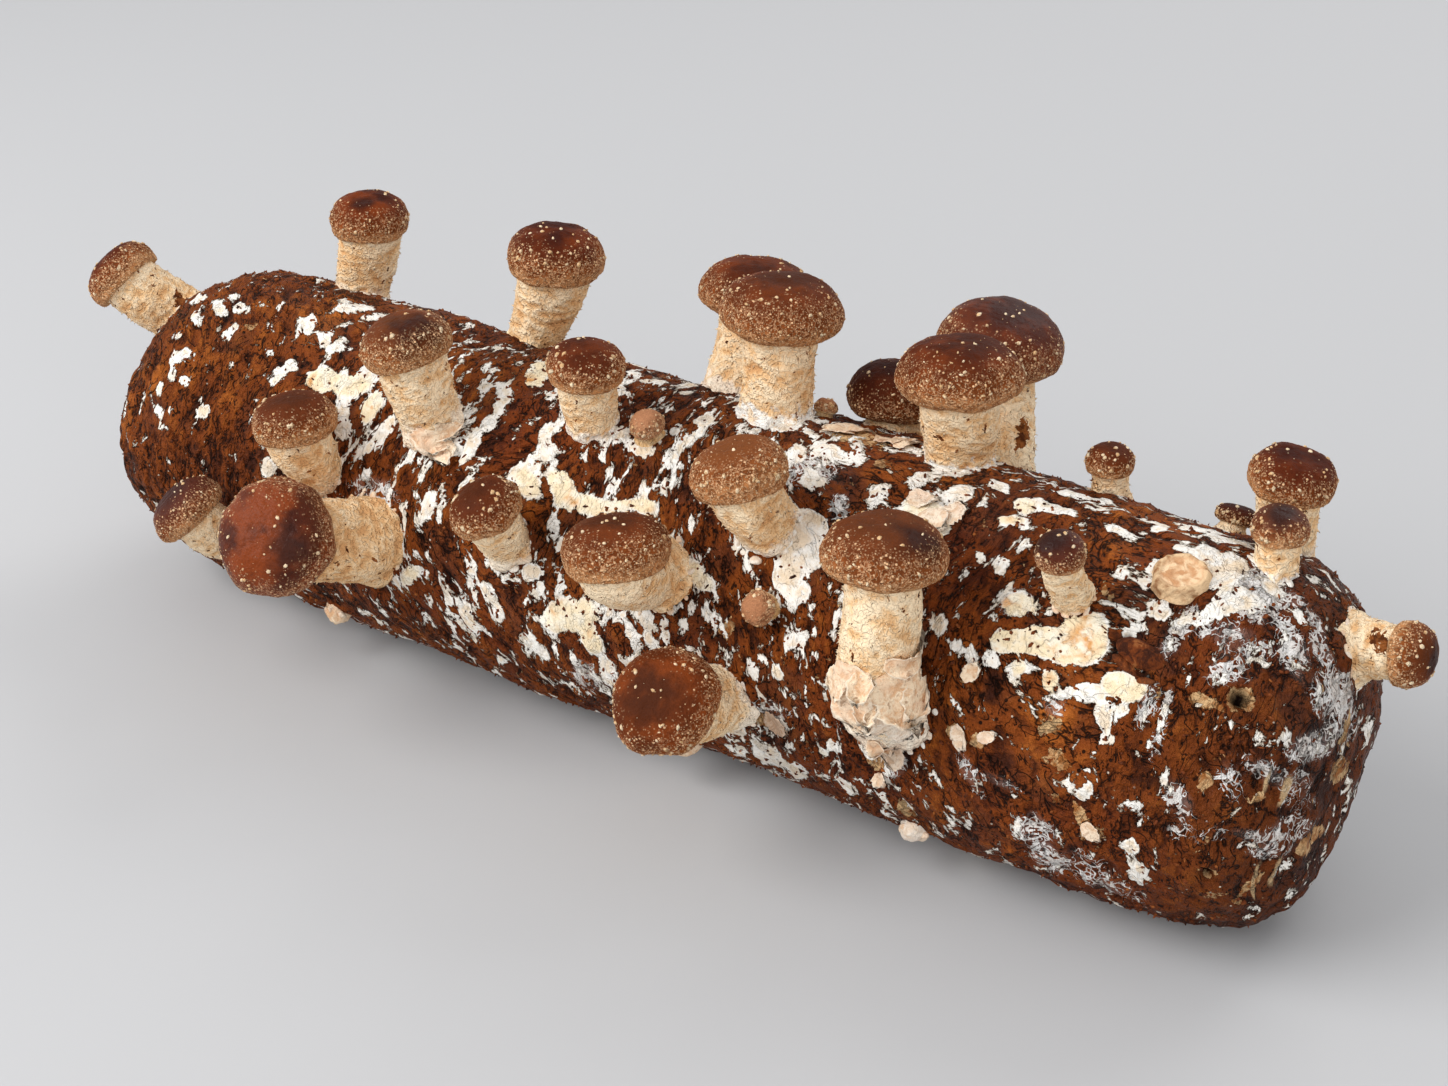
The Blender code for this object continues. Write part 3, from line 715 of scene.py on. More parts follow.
def rind_material():
    p = Paint("rind")
    hoop, length = p.attribute("hoop", "Vector"), p.attribute("length", "Vector")
    relief, cover, cream, lace, tissue = p.read("relief cover cream lace tissue")
    tint, hollow, pleat, lengthwise = p.read("tint hollow pleat lengthwise")

    # Bark: smooth amber brown with painted shade in its hollows and painted light on its ridges, curved
    # cracks and curls, small pits and pale crumbs.
    broad = p.noise(26, 2, 0.5)
    middle = p.noise(120, 3, 0.55, 0.3, hoop)
    grain = p.noise(380, 4, 0.64, 0.2, hoop)
    fine = p.noise(1300, 2, 0.6)
    # The relief in the tone is painted light on the ridges.
    tone = p.add((relief, 0.16), (middle, 0.6), (grain, 0.65), (fine, 0.22), (broad, 0.5), (tint, 0.04))
    red = p.span(p.noise(20, 2, 0.5), 0.42, 0.60)
    ashen = p.span(p.noise(55, 3, 0.6), 0.52, 0.60)
    low = p.add((relief, 0.6), (grain, 1.6))
    bend = p.noise(125, 4, 0.6, 0.4, hoop)
    some = p.span(p.noise(60, 2, 0.5), 0.42, 0.56)
    valley = p.times(p.line(bend, 0.035), some)
    cracks = p.times(p.line(bend, 0.011), some)
    crossing = p.line(p.noise(240, 3, 0.6, 0.4, hoop), 0.022)
    small_cracks = p.times(crossing, p.span(grain, 0.46, 0.52, 1.0, 0.0))
    curling = p.line(p.noise(160, 1.5, 0.5, 1.1, hoop), 0.013)
    curls = p.times(curling, p.span(p.noise(170, 2, 0.5), 0.46, 0.50))
    pits = p.dots(400, 0.13, 0.22, 0.48, 0.50)
    dark = p.math("MAXIMUM", cracks, small_cracks, curls, pits)
    crumbs = p.dots(470, 0.12, 0.19, 0.80, 0.81)
    bark = p.layers(
        (72, 31, 9),
        (p.span(tone, 0.78, 1.00), (126, 61, 19)),
        (p.span(tone, 1.00, 1.32), (176, 98, 36)),
        (p.times(red, p.span(tint, -0.2, 0.8, 0.34, 0.05)), (104, 38, 12)),
        # Darker on the right end: its own darker bark, and painted shade on the end away from the key light.
        (p.span(tint, -0.8, 0.0, 0.40, 0.0), (48, 22, 10)),
        (p.times(ashen, 0.4), (70, 40, 32)),
        # Painted shade where the relief and the grain lie low.
        (p.span(low, 0.46, 0.66, 0.50, 0.0), (40, 17, 8)),
        (p.times(valley, 0.5), (48, 20, 8)),
        (p.times(dark, 0.92), (22, 9, 4)),
        (p.times(crumbs, 0.85), (224, 206, 186)),
    )

    # White growth, with a ragged edge from the same noise that makes the small flecks.
    round_it, along_it = (p.noise(225, 5, 0.64, 0.35, space) for space in (hoop, length))
    fleck = p.add((round_it, p.rest(lengthwise)), (along_it, lengthwise))
    holes = p.span(p.noise(620, 1, 0.5), 0.29, 0.32, 1.0, 0.0)
    field = p.less(p.ragged(fleck, 3.6, cover), p.times(holes, 0.7))
    white = p.span(field, 0.0, 0.04)
    inside = p.span(field, 0.0, 0.12)
    soft = p.noise(200, 3, 0.6)
    shaded = p.times(p.span(field, 0.25, 0.65), p.span(p.noise(150, 4, 0.6, 0.4), 0.42, 0.60), 0.7)
    yellow = p.layers(
        (212, 144, 64),
        (p.span(p.noise(90, 4, 0.55, 0.5), 0.32, 0.46), (240, 220, 182)),
        (p.span(soft, 0.44, 0.64), (243, 234, 212)),
    )
    milk = p.layers(
        (226, 214, 196),
        (p.span(soft, 0.34, 0.52), (243, 239, 231)),
        (shaded, (228, 202, 166)),
        (p.times(p.span(cream, 0.3, 0.9), 0.9), yellow),
    )
    milk = p.blend(inside, (208, 190, 164), milk)

    # Lace: curled strands that close to a torn film where it is thick, with the bark in its holes.
    breadth = p.add((lace, 0.078), (p.centred(p.noise(150, 4, 0.62, 0.4)), 0.20), -0.016)
    strands = [
        p.span(p.less(breadth, p.off(p.noise(scale, 1.2, 0.5, 0.8))), -0.002, 0.003, 0.0, strength)
        for scale, strength in ((230, 1.0), (400, 0.85))
    ]
    film = p.times(p.math("MAXIMUM", *strands), p.span(lace, 0.04, 0.14))
    veil = p.times(p.span(p.noise(120, 4, 0.6, 0.6), 0.42, 0.60), p.span(lace, 0.1, 1.0), 0.14)
    web = p.math("MAXIMUM", film, veil)
    silk = p.blend(p.span(soft, 0.36, 0.6), (222, 214, 206), (243, 240, 236))

    # Beige tissue where the skin was torn.
    torn_field = p.ragged(p.noise(230, 5, 0.62, 0.3), 2.8, tissue)
    torn = p.span(torn_field, 0.0, 0.04)
    beige = p.blend(p.span(p.noise(280, 3, 0.6, 0.8), 0.36, 0.62), (156, 98, 50), (214, 176, 128))
    beige = p.blend(p.span(torn_field, 0.0, 0.07), (120, 68, 30), beige)

    # Pale crests on the pleats of the right end: painted highlight on the tops of the folds.
    crest = p.span(p.add(pleat, (middle, 1.2)), 1.05, 1.35)
    base = p.layers(
        bark,
        # A dark ring just outside the white growth: painted shadow of its raised edge on the bark.
        (p.times(p.span(field, -0.10, 0.0), 0.75), (30, 12, 5)),
        (p.times(web, 0.96), silk),
        (torn, beige),
        (white, milk),
        (p.times(crest, 0.8), (214, 182, 138)),
        # Painted shade in the crevices and the insides of holes.
        (hollow, (26, 14, 8)),
    )
    bare = p.rest(p.times(white, 0.85))
    height = p.add(
        (middle, bare, 1.2),
        (grain, bare, 0.9),
        (valley, bare, -0.25),
        (dark, bare, -0.30),
        (fine, 0.08),
        (crumbs, 0.14),
        (white, 0.16),
        (inside, 0.10),
        (film, 0.14),
        (torn, 0.16),
        (soft, 0.26),
    )
    pale = p.math("MAXIMUM", white, web)
    damp = p.times(p.span(tint, -0.8, 0.0, 0.16, 0.0), p.span(broad, 0.4, 0.6))
    dry = p.less(p.span(middle, 0.3, 0.7, 0.50, 0.72), damp)
    return p.finish(base, p.add((dry, p.rest(pale)), (pale, 0.8)), 0.10, height, 0.0052)


# Two sizes of pale grain on the caps: how many to the metre, radius in parts of a cell, the share of cells
# with a grain at the crown and near the margin, how far out a grain is palest, and how pale it is at the
# crown and there.
GRAINS = ((1500, 0.46, 0.04, 0.78, 0.9, 0.14, 0.55), (820, 0.36, 0.05, 0.58, 0.8, 0.55, 0.95))


def cap_material(name, specular):
    p = Paint(name)
    edge, tone, warm, shine, spot, scale = p.read("edge tone warm shine spot scale")
    broad = p.noise(85, 3, 0.55)
    middle = p.noise(420, 3, 0.6)
    velvet = p.noise(2400, 2, 0.6)
    place = p.add(edge, (p.centred(broad), 0.5), (p.centred(middle), 0.25), (tone, 0.2))
    rust = p.times(p.span(p.add(broad, (warm, 0.12)), 0.50, 0.70), p.span(edge, 0.75, 1.0, 1.0, 0.3), warm)

    # Round grains, close together near the margin, with short wrinkles among them.
    pale = []
    for size, reach, few, many, margin, faint, strong in GRAINS:
        away, pick = p.cells(size)
        chance = p.add(p.span(place, 0.15, 0.80, few, many), (spot, -0.25))
        kept = p.span(p.less(chance, pick), -0.02, 0.02)
        strength = p.span(place, 0.2, margin, faint, strong)
        pale.append(p.times(p.span(away, 0.55 * reach, reach, 1.0, 0.0), kept, strength))
    worm = p.noise(640, 1.5, 0.5, 0.4)
    wrinkles = p.times(p.line(worm, 0.05), p.span(place, 0.45, 0.85, 0.0, 0.55))
    pale = p.math("MAXIMUM", *pale, wrinkles)
    groove = p.times(p.span(worm, 0.54, 0.62), p.span(place, 0.35, 0.75, 0.0, 0.5))

    base = p.layers(
        (56, 17, 5),
        (p.span(place, 0.10, 0.58), (88, 34, 10)),
        (p.span(place, 0.54, 0.80), (132, 68, 28)),
        (p.span(place, 0.76, 0.98), (200, 140, 90)),
        (rust, (136, 60, 19)),
        (p.span(tone, 0.0, 1.0, 0.0, 0.75, False), (160, 96, 50)),
        (p.span(tone, 1.0, 2.0, 0.0, 1.0, False), (192, 138, 102)),
        (p.span(tone, -1.0, 0.0, 0.9, 0.0, False), (44, 18, 9)),
        (spot, (40, 15, 10)),
        (p.span(velvet, 0.35, 0.60, 0.24, 0.0), (50, 20, 8)),
        (groove, (92, 45, 20)),
        (pale, (240, 192, 146)),
        (p.span(edge, 1.0, 1.12), p.blend(p.span(middle, 0.35, 0.65), (212, 166, 112), (240, 210, 166))),
        (scale, p.blend(p.span(middle, 0.4, 0.6), (222, 180, 130), (246, 224, 188))),
    )
    height = p.add((middle, 0.5), (pale, 0.34), (groove, -0.3), (velvet, 0.12), (broad, 0.6))
    gloss = p.math("MAXIMUM", shine, spot)
    rough = p.add(p.span(edge, 0.3, 1.0, 0.56, 0.82), (gloss, -0.26), (velvet, 0.06))
    return p.finish(base, rough, specular, height, 0.0014)


def stem_material():
    p = Paint("stem_flesh")
    climb, warm, crease, milk, crust = p.read("climb warm crease milk crust")
    broad = p.noise(110, 3, 0.55)
    middle = p.noise(300, 3, 0.6, 0.2)
    streak = p.noise(900, 3, 0.6, 0.3, p.attribute("fibre", "Vector"))
    crest = p.line(p.noise(640, 1.5, 0.5, 0.3), 0.14)
    bead = p.span(p.cells(1250)[0], 0.20, 0.60, 1.0, 0.0)
    streaky = p.span(climb, 0.6, 1.0, 0.15, 0.40)
    # The tone follows the creases of the relief, paler on the wrinkles' ridges and tan in the creases:
    # painted light and shade, over the stem's own cream and tan.
    tone = p.add(
        (crease, 0.34),
        (middle, 0.22),
        (broad, 0.38),
        (streak, streaky),
        (crest, 0.11),
        (bead, 0.05),
        (warm, -0.20),
    )
    wrapped = p.times(p.span(p.add(climb, (p.centred(middle), 0.6)), 0.10, 0.22, 1.0, 0.0), milk)
    worn = p.span(p.ragged(p.noise(400, 4, 0.6, 0.4), 3.4, crust), 0.0, 0.05)
    base = p.layers(
        (238, 194, 142),
        (p.span(tone, 0.22, 0.62), (253, 229, 193)),
        # Deep tan where the tone is lowest: painted warm shade in the creases, and the stem's own tan.
        (p.span(tone, 0.06, 0.32, 0.6, 0.0), (200, 138, 82)),
        (wrapped, (247, 243, 235)),
        (worn, p.blend(p.span(middle, 0.4, 0.6), (84, 42, 17), (146, 86, 42))),
    )
    height = p.add((middle, 0.5), (crest, 0.22), (bead, 0.08), (streak, 0.10))
    return p.finish(base, p.span(middle, 0.3, 0.7, 0.7, 0.85), 0.08, height, 0.0015)


def torn_material():
    """Torn flaps and lumps of tissue: creamy with brown patches, or white, or as brown as bark."""
    p = Paint("torn_tissue")
    rim, milk, brown = p.read("rim milk brown")
    middle = p.noise(330, 4, 0.62, 0.6)
    fine = p.noise(1300, 3, 0.6)
    tone = p.add(middle, (fine, 0.35))
    # Brown pieces turn paler towards their rims; on the fold's lip this is partly painted highlight.
    bark = p.layers(
        (58, 25, 10), (p.span(tone, 0.55, 0.85), (116, 56, 22)), (p.span(rim, 0.4, 0.9), (168, 100, 56))
    )
    base = p.layers(
        (220, 174, 132),
        (p.span(tone, 0.50, 0.78), (246, 222, 190)),
        (p.times(p.span(p.noise(120, 2), 0.46, 0.62), 0.4), (232, 184, 148)),
        (p.span(rim, 0.5, 0.95, 0.0, 0.7), (250, 236, 214)),
        (milk, p.blend(p.span(middle, 0.4, 0.55), (234, 222, 204), (246, 242, 234))),
        (brown, bark),
        (p.times(p.span(middle, 0.60, 0.66), p.rest(milk), 0.6), (150, 96, 54)),
    )
    height = p.add((middle, 0.9), (fine, 0.3))
    return p.finish(base, p.span(middle, 0.3, 0.7, 0.66, 0.82), 0.12, height, 0.0014)


def chip_material():
    p = Paint("bark_chips")
    fine = p.noise(1100, 3, 0.6)
    tone = p.add(p.noise(260, 3, 0.6), (fine, 0.5))
    base = p.layers(
        (48, 21, 9), (p.span(tone, 0.60, 0.80), (112, 54, 22)), (p.span(tone, 0.80, 0.98), (160, 94, 44))
    )
    return p.finish(base, p.span(fine, 0.3, 0.7, 0.55, 0.75), 0.16, tone, 0.001)


def stump_material():
    p = Paint("cut_stump")
    ring = p.attribute("ring")
    middle = p.noise(260, 4, 0.6, 0.6)
    wave = p.math("SINE", p.times(p.add(ring, (middle, 0.9)), 13.0))
    wood = p.blend(p.span(p.add((wave, 0.05), middle), 0.36, 0.62), (200, 148, 104), (240, 208, 168))
    crust = p.blend(p.span(middle, 0.34, 0.56), (150, 104, 66), (226, 192, 150))
    base = p.blend(p.span(p.add(ring, (p.centred(middle), 0.4)), 0.74, 0.86), wood, crust)
    height = p.add(middle, (p.noise(1200, 2), 0.3))
    return p.finish(base, p.span(middle, 0.3, 0.7, 0.6, 0.8), 0.16, height, 0.0012)


# Mushrooms


def heading_axis(tilt, heading):
    tilt, heading = math.radians(tilt), math.radians(heading)
    level = math.sin(tilt)
    return np.array((level * math.sin(heading), -level * math.cos(heading), math.cos(tilt)))


def side_axes(axis):
    """Two directions square to the axis, the first as level as it can be."""
    across = np.cross((0, 0, 1), axis)
    if np.linalg.norm(across) < 0.05:
        across = np.array((1.0, 0, 0))
    across = unit(across)
    return across, np.cross(axis, across)


def smooth_line(knots, count):
    """Points an even distance apart along a smooth line through the knots."""
    knots = np.asarray(knots, float)
    padded = np.concatenate([[2 * knots[0] - knots[1]], knots, [2 * knots[-1] - knots[-2]]])
    t = np.linspace(0, 1, 24, endpoint=False)[:, None]
    rows = []
    for a, b, c, d in zip(padded, padded[1:], padded[2:], padded[3:]):
        bend, twist = 2 * a - 5 * b + 4 * c - d, 3 * b - a - 3 * c + d
        rows.append(0.5 * (2 * b + (c - a) * t + bend * t**2 + twist * t**3))
    line = np.concatenate([*rows, [knots[-1]]])
    run = run_along(line)
    even = np.linspace(0, run[-1], count)
    return np.stack([np.interp(even, run, line[:, i]) for i in range(line.shape[1])], -1)


# How each cap looks: lightness (-1 dark to 1 pale), rust (0 to 1), shine (0 to 1), and a dark patch's
# heading, height on the cap (0 margin, 1 crown) and size in parts of the cap's width, or size 0 for none.
SKINS = (
    (0.0, 0.4, 0.4, 0, 0, 0), (-0.1, 0.1, 0.5, 0, 0, 0), (0.0, 0.6, 0.3, 20, 0.75, 0.2),
    (0.15, 0.1, 0.1, 0, 0, 0), (-0.05, 0.9, 0.8, 75, 0.55, 0.27), (0.3, 0.3, 0.4, 75, 0.5, 0.42),
    (0.0, 0.35, 0.3, 0, 0, 0), (0.1, 0.1, 0.3, 0, 0, 0), (0.05, 0.3, 0.3, 0, 0, 0),
    (0.05, 0.4, 0.3, 0, 0, 0), (0.15, 0.3, 0.1, 0, 0, 0), (0.12, 0.3, 0.2, 0, 0, 0),
    (0.60, 0.1, 0.1, 0, 0, 0), (0.12, 0.7, 0.2, 0, 0, 0), (-0.35, 0.3, 0.3, 0, 0, 0),
    (0.05, 0.4, 0.3, 0, 0, 0), (0.25, 0.2, 0.3, 80, 0.5, 0.25), (-0.1, 0.5, 0.5, 0, 0, 0),
    (0.1, 0.3, 0.2, 0, 0, 0), (-0.1, 0.0, 0.6, 300, 0.6, 0.45), (-0.5, 0.0, 0.3, 0, 0, 0),
    (0.0, 0.2, 0.2, 0, 0, 0), (0.15, 0.0, 0.6, 20, 0.9, 0.4), (0.2, 0.2, 0.4, 90, 0.9, 0.3),
)

# A cap that shines at least this much has the glossy skin.
GLOSSY = 0.45

# A small grain, a point over five corners, and a loose flake, a thin spike on four: points and faces.
FLECK_CORNERS = ((1, 0), (0.25, 0.9), (-0.9, 0.5), (-0.7, -0.7), (0.4, -0.95))
FLECK = (
    np.array([*((x, y, -0.4) for x, y in FLECK_CORNERS), (0.1, 0, 1.0)]),
    [(0, 1, 5), (1, 2, 5), (2, 3, 5), (3, 4, 5), (4, 0, 5), (0, 4, 3), (0, 3, 2), (0, 2, 1)],
)
FLAKE = (
    np.array([(-1, 0, -0.6), (1, 0, -0.6), (0, 1, -0.6), (0, -1, -0.6), (0.2, 0.3, 1.0)]),
    [(0, 2, 4), (2, 1, 4), (1, 3, 4), (3, 0, 4), (0, 3, 2), (3, 1, 2)],
)


def disc(sides, waist, seed):
    """A flat scale with a ragged outline: points in its own frame, and its faces."""
    draw = np.random.default_rng(seed)
    turn = 2 * np.pi * np.arange(sides) / sides
    reach = 1 + draw.uniform(-0.35, 0.35, sides)
    low = np.stack([np.cos(turn) * reach, np.sin(turn) * reach, np.full(sides, -0.5)], 1)
    high = low * (waist, waist, 0) + (0, 0, 1.0)
    points = np.concatenate([low, high, [(0, 0, -0.5), (0, 0, 1.1)]])
    here = np.arange(sides)
    after = (here + 1) % sides
    under, over = np.full(sides, 2 * sides), np.full(sides, 2 * sides + 1)
    corners = (
        (here, after, after + sides), (here, after + sides, here + sides),
        (after, here, under), (here + sides, after + sides, over),
    )
    return points, np.concatenate([np.stack(row, 1) for row in corners])


def frames_on(normals, draw):
    """For each normal, two directions square to it at a random turn, and the normal itself."""
    other = draw.normal(size=normals.shape)
    first = np.cross(other, normals)
    first /= np.linalg.norm(first, axis=1)[:, None]
    return np.stack([first, np.cross(normals, first), normals], 1)


def spread(rings):
    """A grid of points, rings by count by 3, as one list, and the directions straight out of it."""
    around = np.roll(rings, -1, 1) - np.roll(rings, 1, 1)
    normals = np.cross(np.gradient(rings, axis=0), around)
    normals /= np.maximum(np.linalg.norm(normals, axis=2, keepdims=True), 1e-12)
    if ((rings - rings.mean((0, 1))) * normals).sum() < 0:
        normals = -normals
    return rings.reshape(-1, 3), normals.reshape(-1, 3)


def cap_surface(centre, axis, profile, width, count):
    """Points round a cap's axis and the directions out of it, from a profile of (part of its width out,
    part of its width up)."""
    outs = around_axis(*side_axes(axis), count)
    grow = 1 + 0.07 * np.array([noise.noise(Vector(centre + o * width) * 60) for o in outs])
    rings = [centre + outs * (r * width * grow)[:, None] + axis * (h * width) for r, h in profile]
    return spread(np.stack(rings))


def add_scales(shape, number, flat, normals, edge, weights, share, shine):
    """Pale scales on a cap: many small ones near its margin and a few large ones anywhere."""
    draw = np.random.default_rng(100 + number)
    kinds = (
        (np.clip((edge - 0.35) / 0.6, 0.06, 1) * (edge < 1.05), 420, 0.14, 0.30, 0.16, FLECK),
        (np.clip(edge - 0.1, 0.2, 0.6) * (edge < 0.85), 60, 0.36, 0.90, 0.30, disc(6, 0.6, number)),
    )
    for pick, most, least_size, most_size, thick, (pattern, faces) in kinds:
        total = int(most * share * (1 - 0.45 * shine))
        odds = pick * weights
        chosen = draw.choice(len(flat), total, replace=False, p=odds / odds.sum())
        sizes = draw.uniform(least_size, most_size, total) * MM
        stretch = draw.uniform(0.5, 1.0, total)
        frames = frames_on(normals[chosen], draw)
        frames = frames * np.stack([sizes, sizes * stretch, np.full(total, thick * MM)], 1)[:, :, None]
        scale = draw.uniform(0.75, 1.0, total)
        shape.stamp(pattern, faces, flat[chosen], frames, scale=scale, edge=edge[chosen])


def neck_width(stem_width, cap_width):
    """Half the width of the opening under a cap, in parts of the cap's width."""
    return max(0.34, min(0.43, 0.5 * stem_width / cap_width + 0.04))


def make_cap(number, centre, axis, width, dome, stem_width, material):
    neck = neck_width(stem_width, width)
    lip = min(0.46, neck + 0.05)
    knots = (
        (0.0, dome), (0.24, 0.91 * dome), (0.41, 0.62 * dome), (0.495, 0.12 * dome), (0.488, -0.08),
        (lip + 0.01, -0.15), (lip - 0.03, -0.155), (neck - 0.05, -0.12), (neck - 0.12, -0.10), (0, -0.10),
    )
    profile = smooth_line(knots, 52)[1:-1]
    run = run_along(profile)
    low = int(np.argmin(profile[:, 1]))
    count = 2 * int(24 + 0.75 * width / MM)
    flat, normals = cap_surface(centre, axis, profile, width, count)
    edge = np.repeat(run / run[low - 2], count)
    outer = held((1.15 - edge) / 0.1)
    small = min(1.0, width / 0.02)
    bumps = ripples(flat, (0.40, 130, number), (0.18, 400, number), (0.10, 850, number))
    bumps += held((edge - 0.55) / 0.4) * 0.16 * ripple(flat, 1100, number)
    flat = flat + normals * (bumps * MM * outer * small)[:, None]

    tone, warm, shine, heading, height, size = SKINS[number - 1]
    spot = np.zeros(len(flat))
    if size:
        toward = heading_axis(90, heading)
        toward = unit(toward - axis * (toward @ axis))
        rise = height * math.pi / 2
        middle = centre + toward * (0.48 * math.cos(rise) * width) + axis * (dome * math.sin(rise) * width)
        away = np.linalg.norm(flat - middle, axis=1) / (size * width)
        spot = held(1.6 * (1 - away) + 0.5 * ripple(flat, 260, 5.0)) * 0.85

    shape = Shape(edge=0.0, tone=tone, warm=warm, shine=shine, spot=0.0, scale=0.0)
    crown, under = centre + axis * dome * width, centre - axis * 0.10 * width
    shape.wrap(count, crown, flat, under, edge=(0, edge, 2), spot=(spot[0], spot, 0))
    weights = np.repeat(profile[:, 0], count)
    add_scales(shape, number, flat, normals, edge, weights, width / 0.030, shine)
    return shape.build(f"cap_skin_{number:02}", material)


# The stems whose feet are wrapped in white growth, and how much: 0 to 1.
MILKY = {
    3: 0.3, 4: 0.3, 6: 0.4, 8: 0.4, 9: 0.7, 10: 0.5, 12: 1.0, 13: 0.6, 14: 0.5, 16: 1.0, 17: 0.5, 22: 0.4,
    23: 1.0,
}

# How brown some stems are, 0 to 1, and how brown the others are.
TANNED = {
    1: 0.6, 3: 0.5, 4: 0.5, 5: 1.0, 7: 0.6, 10: 0.4, 12: 0.5, 13: 0.6, 16: 0.5, 17: 0.1, 18: 0.1, 22: 0.5,
    24: 0.1,
}
USUAL_TAN = 0.25

# Brown worn patches on some stems, as ovals in pixels of the photo like those of the growth.
CRUSTS = {
    1: ((181, 305, 22, 7, -70, 0.9),),
    18: ((1022, 436, 20, 8, 80, 1.0),),
    24: ((1378, 640, 20, 10, -70, 1.0),),
}


def make_stem(number, foot, out, cap_centre, axis, cap_width, top_width, foot_width, material):
    top = cap_centre - axis * (0.10 * cap_width)
    reach = np.linalg.norm(top - foot)
    start = foot - out * 0.002
    leave = start + (out * 0.7 + axis * 0.3) * (0.4 * reach)
    arrive = top - axis * (0.36 * reach)
    across = side_axes(out)[0]
    count = 2 * int(20 + 0.8 * foot_width / MM)
    steps = int(min(54, max(26, reach / (0.6 * MM))))
    top_reach = min(0.5 * top_width, neck_width(top_width, cap_width) * cap_width - 0.0006)
    rings = []
    for step in range(steps + 1):
        t = step / steps
        s = 1 - t
        middle = start * s**3 + leave * (3 * s * s * t) + arrive * (3 * s * t * t) + top * t**3
        run = unit((leave - start) * (s * s) + (arrive - leave) * (2 * s * t) + (top - arrive) * (t * t))
        across = unit(across - run * (across @ run))
        wide = 0.5 * foot_width * s**1.6 + top_reach * (1 - s**1.6)
        flare = 0.0016 * math.exp(-((t * reach / 0.0024) ** 2))
        sides = around_axis(across, np.cross(run, across), count)
        low = np.array([noise.noise(Vector(middle + side * 0.02) * 60) for side in sides])
        rough = np.array([noise.noise(Vector(middle + side * wide) * 190) for side in sides])
        reach_out = wide * (1 + 0.14 * low * (1 - t**6)) + flare * (1 + 1.4 * rough)
        rings.append(middle + sides * reach_out[:, None])
    flat, normals = spread(np.stack(rings))
    climb = np.repeat(np.linspace(0, 1, steps + 1), count)

    # Wrinkles lie across the stem, with lumps and fine grain over them.
    run = unit(top - foot)
    squeezed = flat + np.outer(flat @ run, run) * 0.9
    wrinkle = 1 - 2.2 * np.abs(ripple(squeezed, 190, number))
    crease = 0.7 * (wrinkle - 0.4) + ripples(flat, (0.5, 130, number + 0.5), (0.4, 480, number + 0.2))
    small = min(1.0, foot_width / 0.012)
    low_down = 1 + 0.6 * held(1 - climb / 0.4)
    flat = flat + normals * (0.5 * MM * crease * small * low_down)[:, None]

    milk, warm = MILKY.get(number, 0.0), TANNED.get(number, USUAL_TAN)
    shape = Shape(climb=0.0, crease=0.0, crust=0.0, milk=milk, warm=warm)
    points = np.concatenate([[start], flat, [top]])
    crust = drawn(points, np.ones(len(points)), CRUSTS.get(number, ()))
    shape.wrap(count, start, flat, top, climb=(0, climb, 1), crease=(0, crease, 0), crust=crust)

    # Small loose flakes.
    draw = np.random.default_rng(300 + number)
    weights = ((climb > 0.08) & (climb < 0.97)).astype(float)
    total = min(520, int(300 * (foot_width + top_width) * reach / (0.036 * 0.03)))
    chosen = draw.choice(len(flat), total, replace=False, p=weights / weights.sum())
    lean = normals[chosen] * draw.uniform(0.35, 1.0, (total, 1)) + run * draw.uniform(-0.9, 0.9, (total, 1))
    lean /= np.linalg.norm(lean, axis=1)[:, None]
    first = np.cross(lean, normals[chosen] + 0.3 * draw.normal(size=(total, 3)))
    first /= np.linalg.norm(first, axis=1)[:, None]
    frames = np.stack([first, np.cross(lean, first), lean], 1)
    sizes = draw.uniform(0.22, 0.62, total) * MM
    frames = frames * np.stack([sizes, sizes * 0.4, sizes * 1.7], 1)[:, :, None]
    shape.stamp(*FLAKE, flat[chosen], frames, climb=climb[chosen], crease=draw.uniform(0, 0.8, total))
    every = np.concatenate(shape.points)
    fibres = every - np.outer(every @ run, run) * 0.8
    return shape.build(f"stem_flesh_{number:02}", material, fibre=fibres)


# Small growths, torn tissue and crumbs

# How light and how rusty the head of each young mushroom is.
PIN_SKINS = ((1.7, 0.0), (1.6, 0.1), (1.5, 0.3))
PIN_KNOTS = (
    (0, 0.90), (0.24, 0.86), (0.42, 0.70), (0.50, 0.50), (0.47, 0.34), (0.37, 0.24), (0.36, 0.12), (0.46, 0),
    (0.3, -0.05),
)
STUMP_KNOTS = (
    (0, 0.80), (0.2, 0.84), (0.36, 0.88), (0.41, 1.0), (0.47, 1.04), (0.52, 0.80), (0.55, 0.40), (0.60, 0),
    (0.5, -0.1),
)
NUB_WHITE = (0.1, 0.0, 0.6)

# The parts of the brown fold: place in pixels of the photo, turn there, half sizes in mm, roughness and
# how pale it is. The paler lip is partly its own colour and partly painted highlight on its glossy skin.
FOLD_LUMPS = (
    (1141, 656, -30, (6.2, 3.4, 3.0), 0.22, 0.0),
    (1126, 666, -40, (4.4, 1.3, 1.4), 0.35, 0.48),
    (1145, 681, -32, (3.0, 1.1, 0.9), 0.40, 0.55),
)

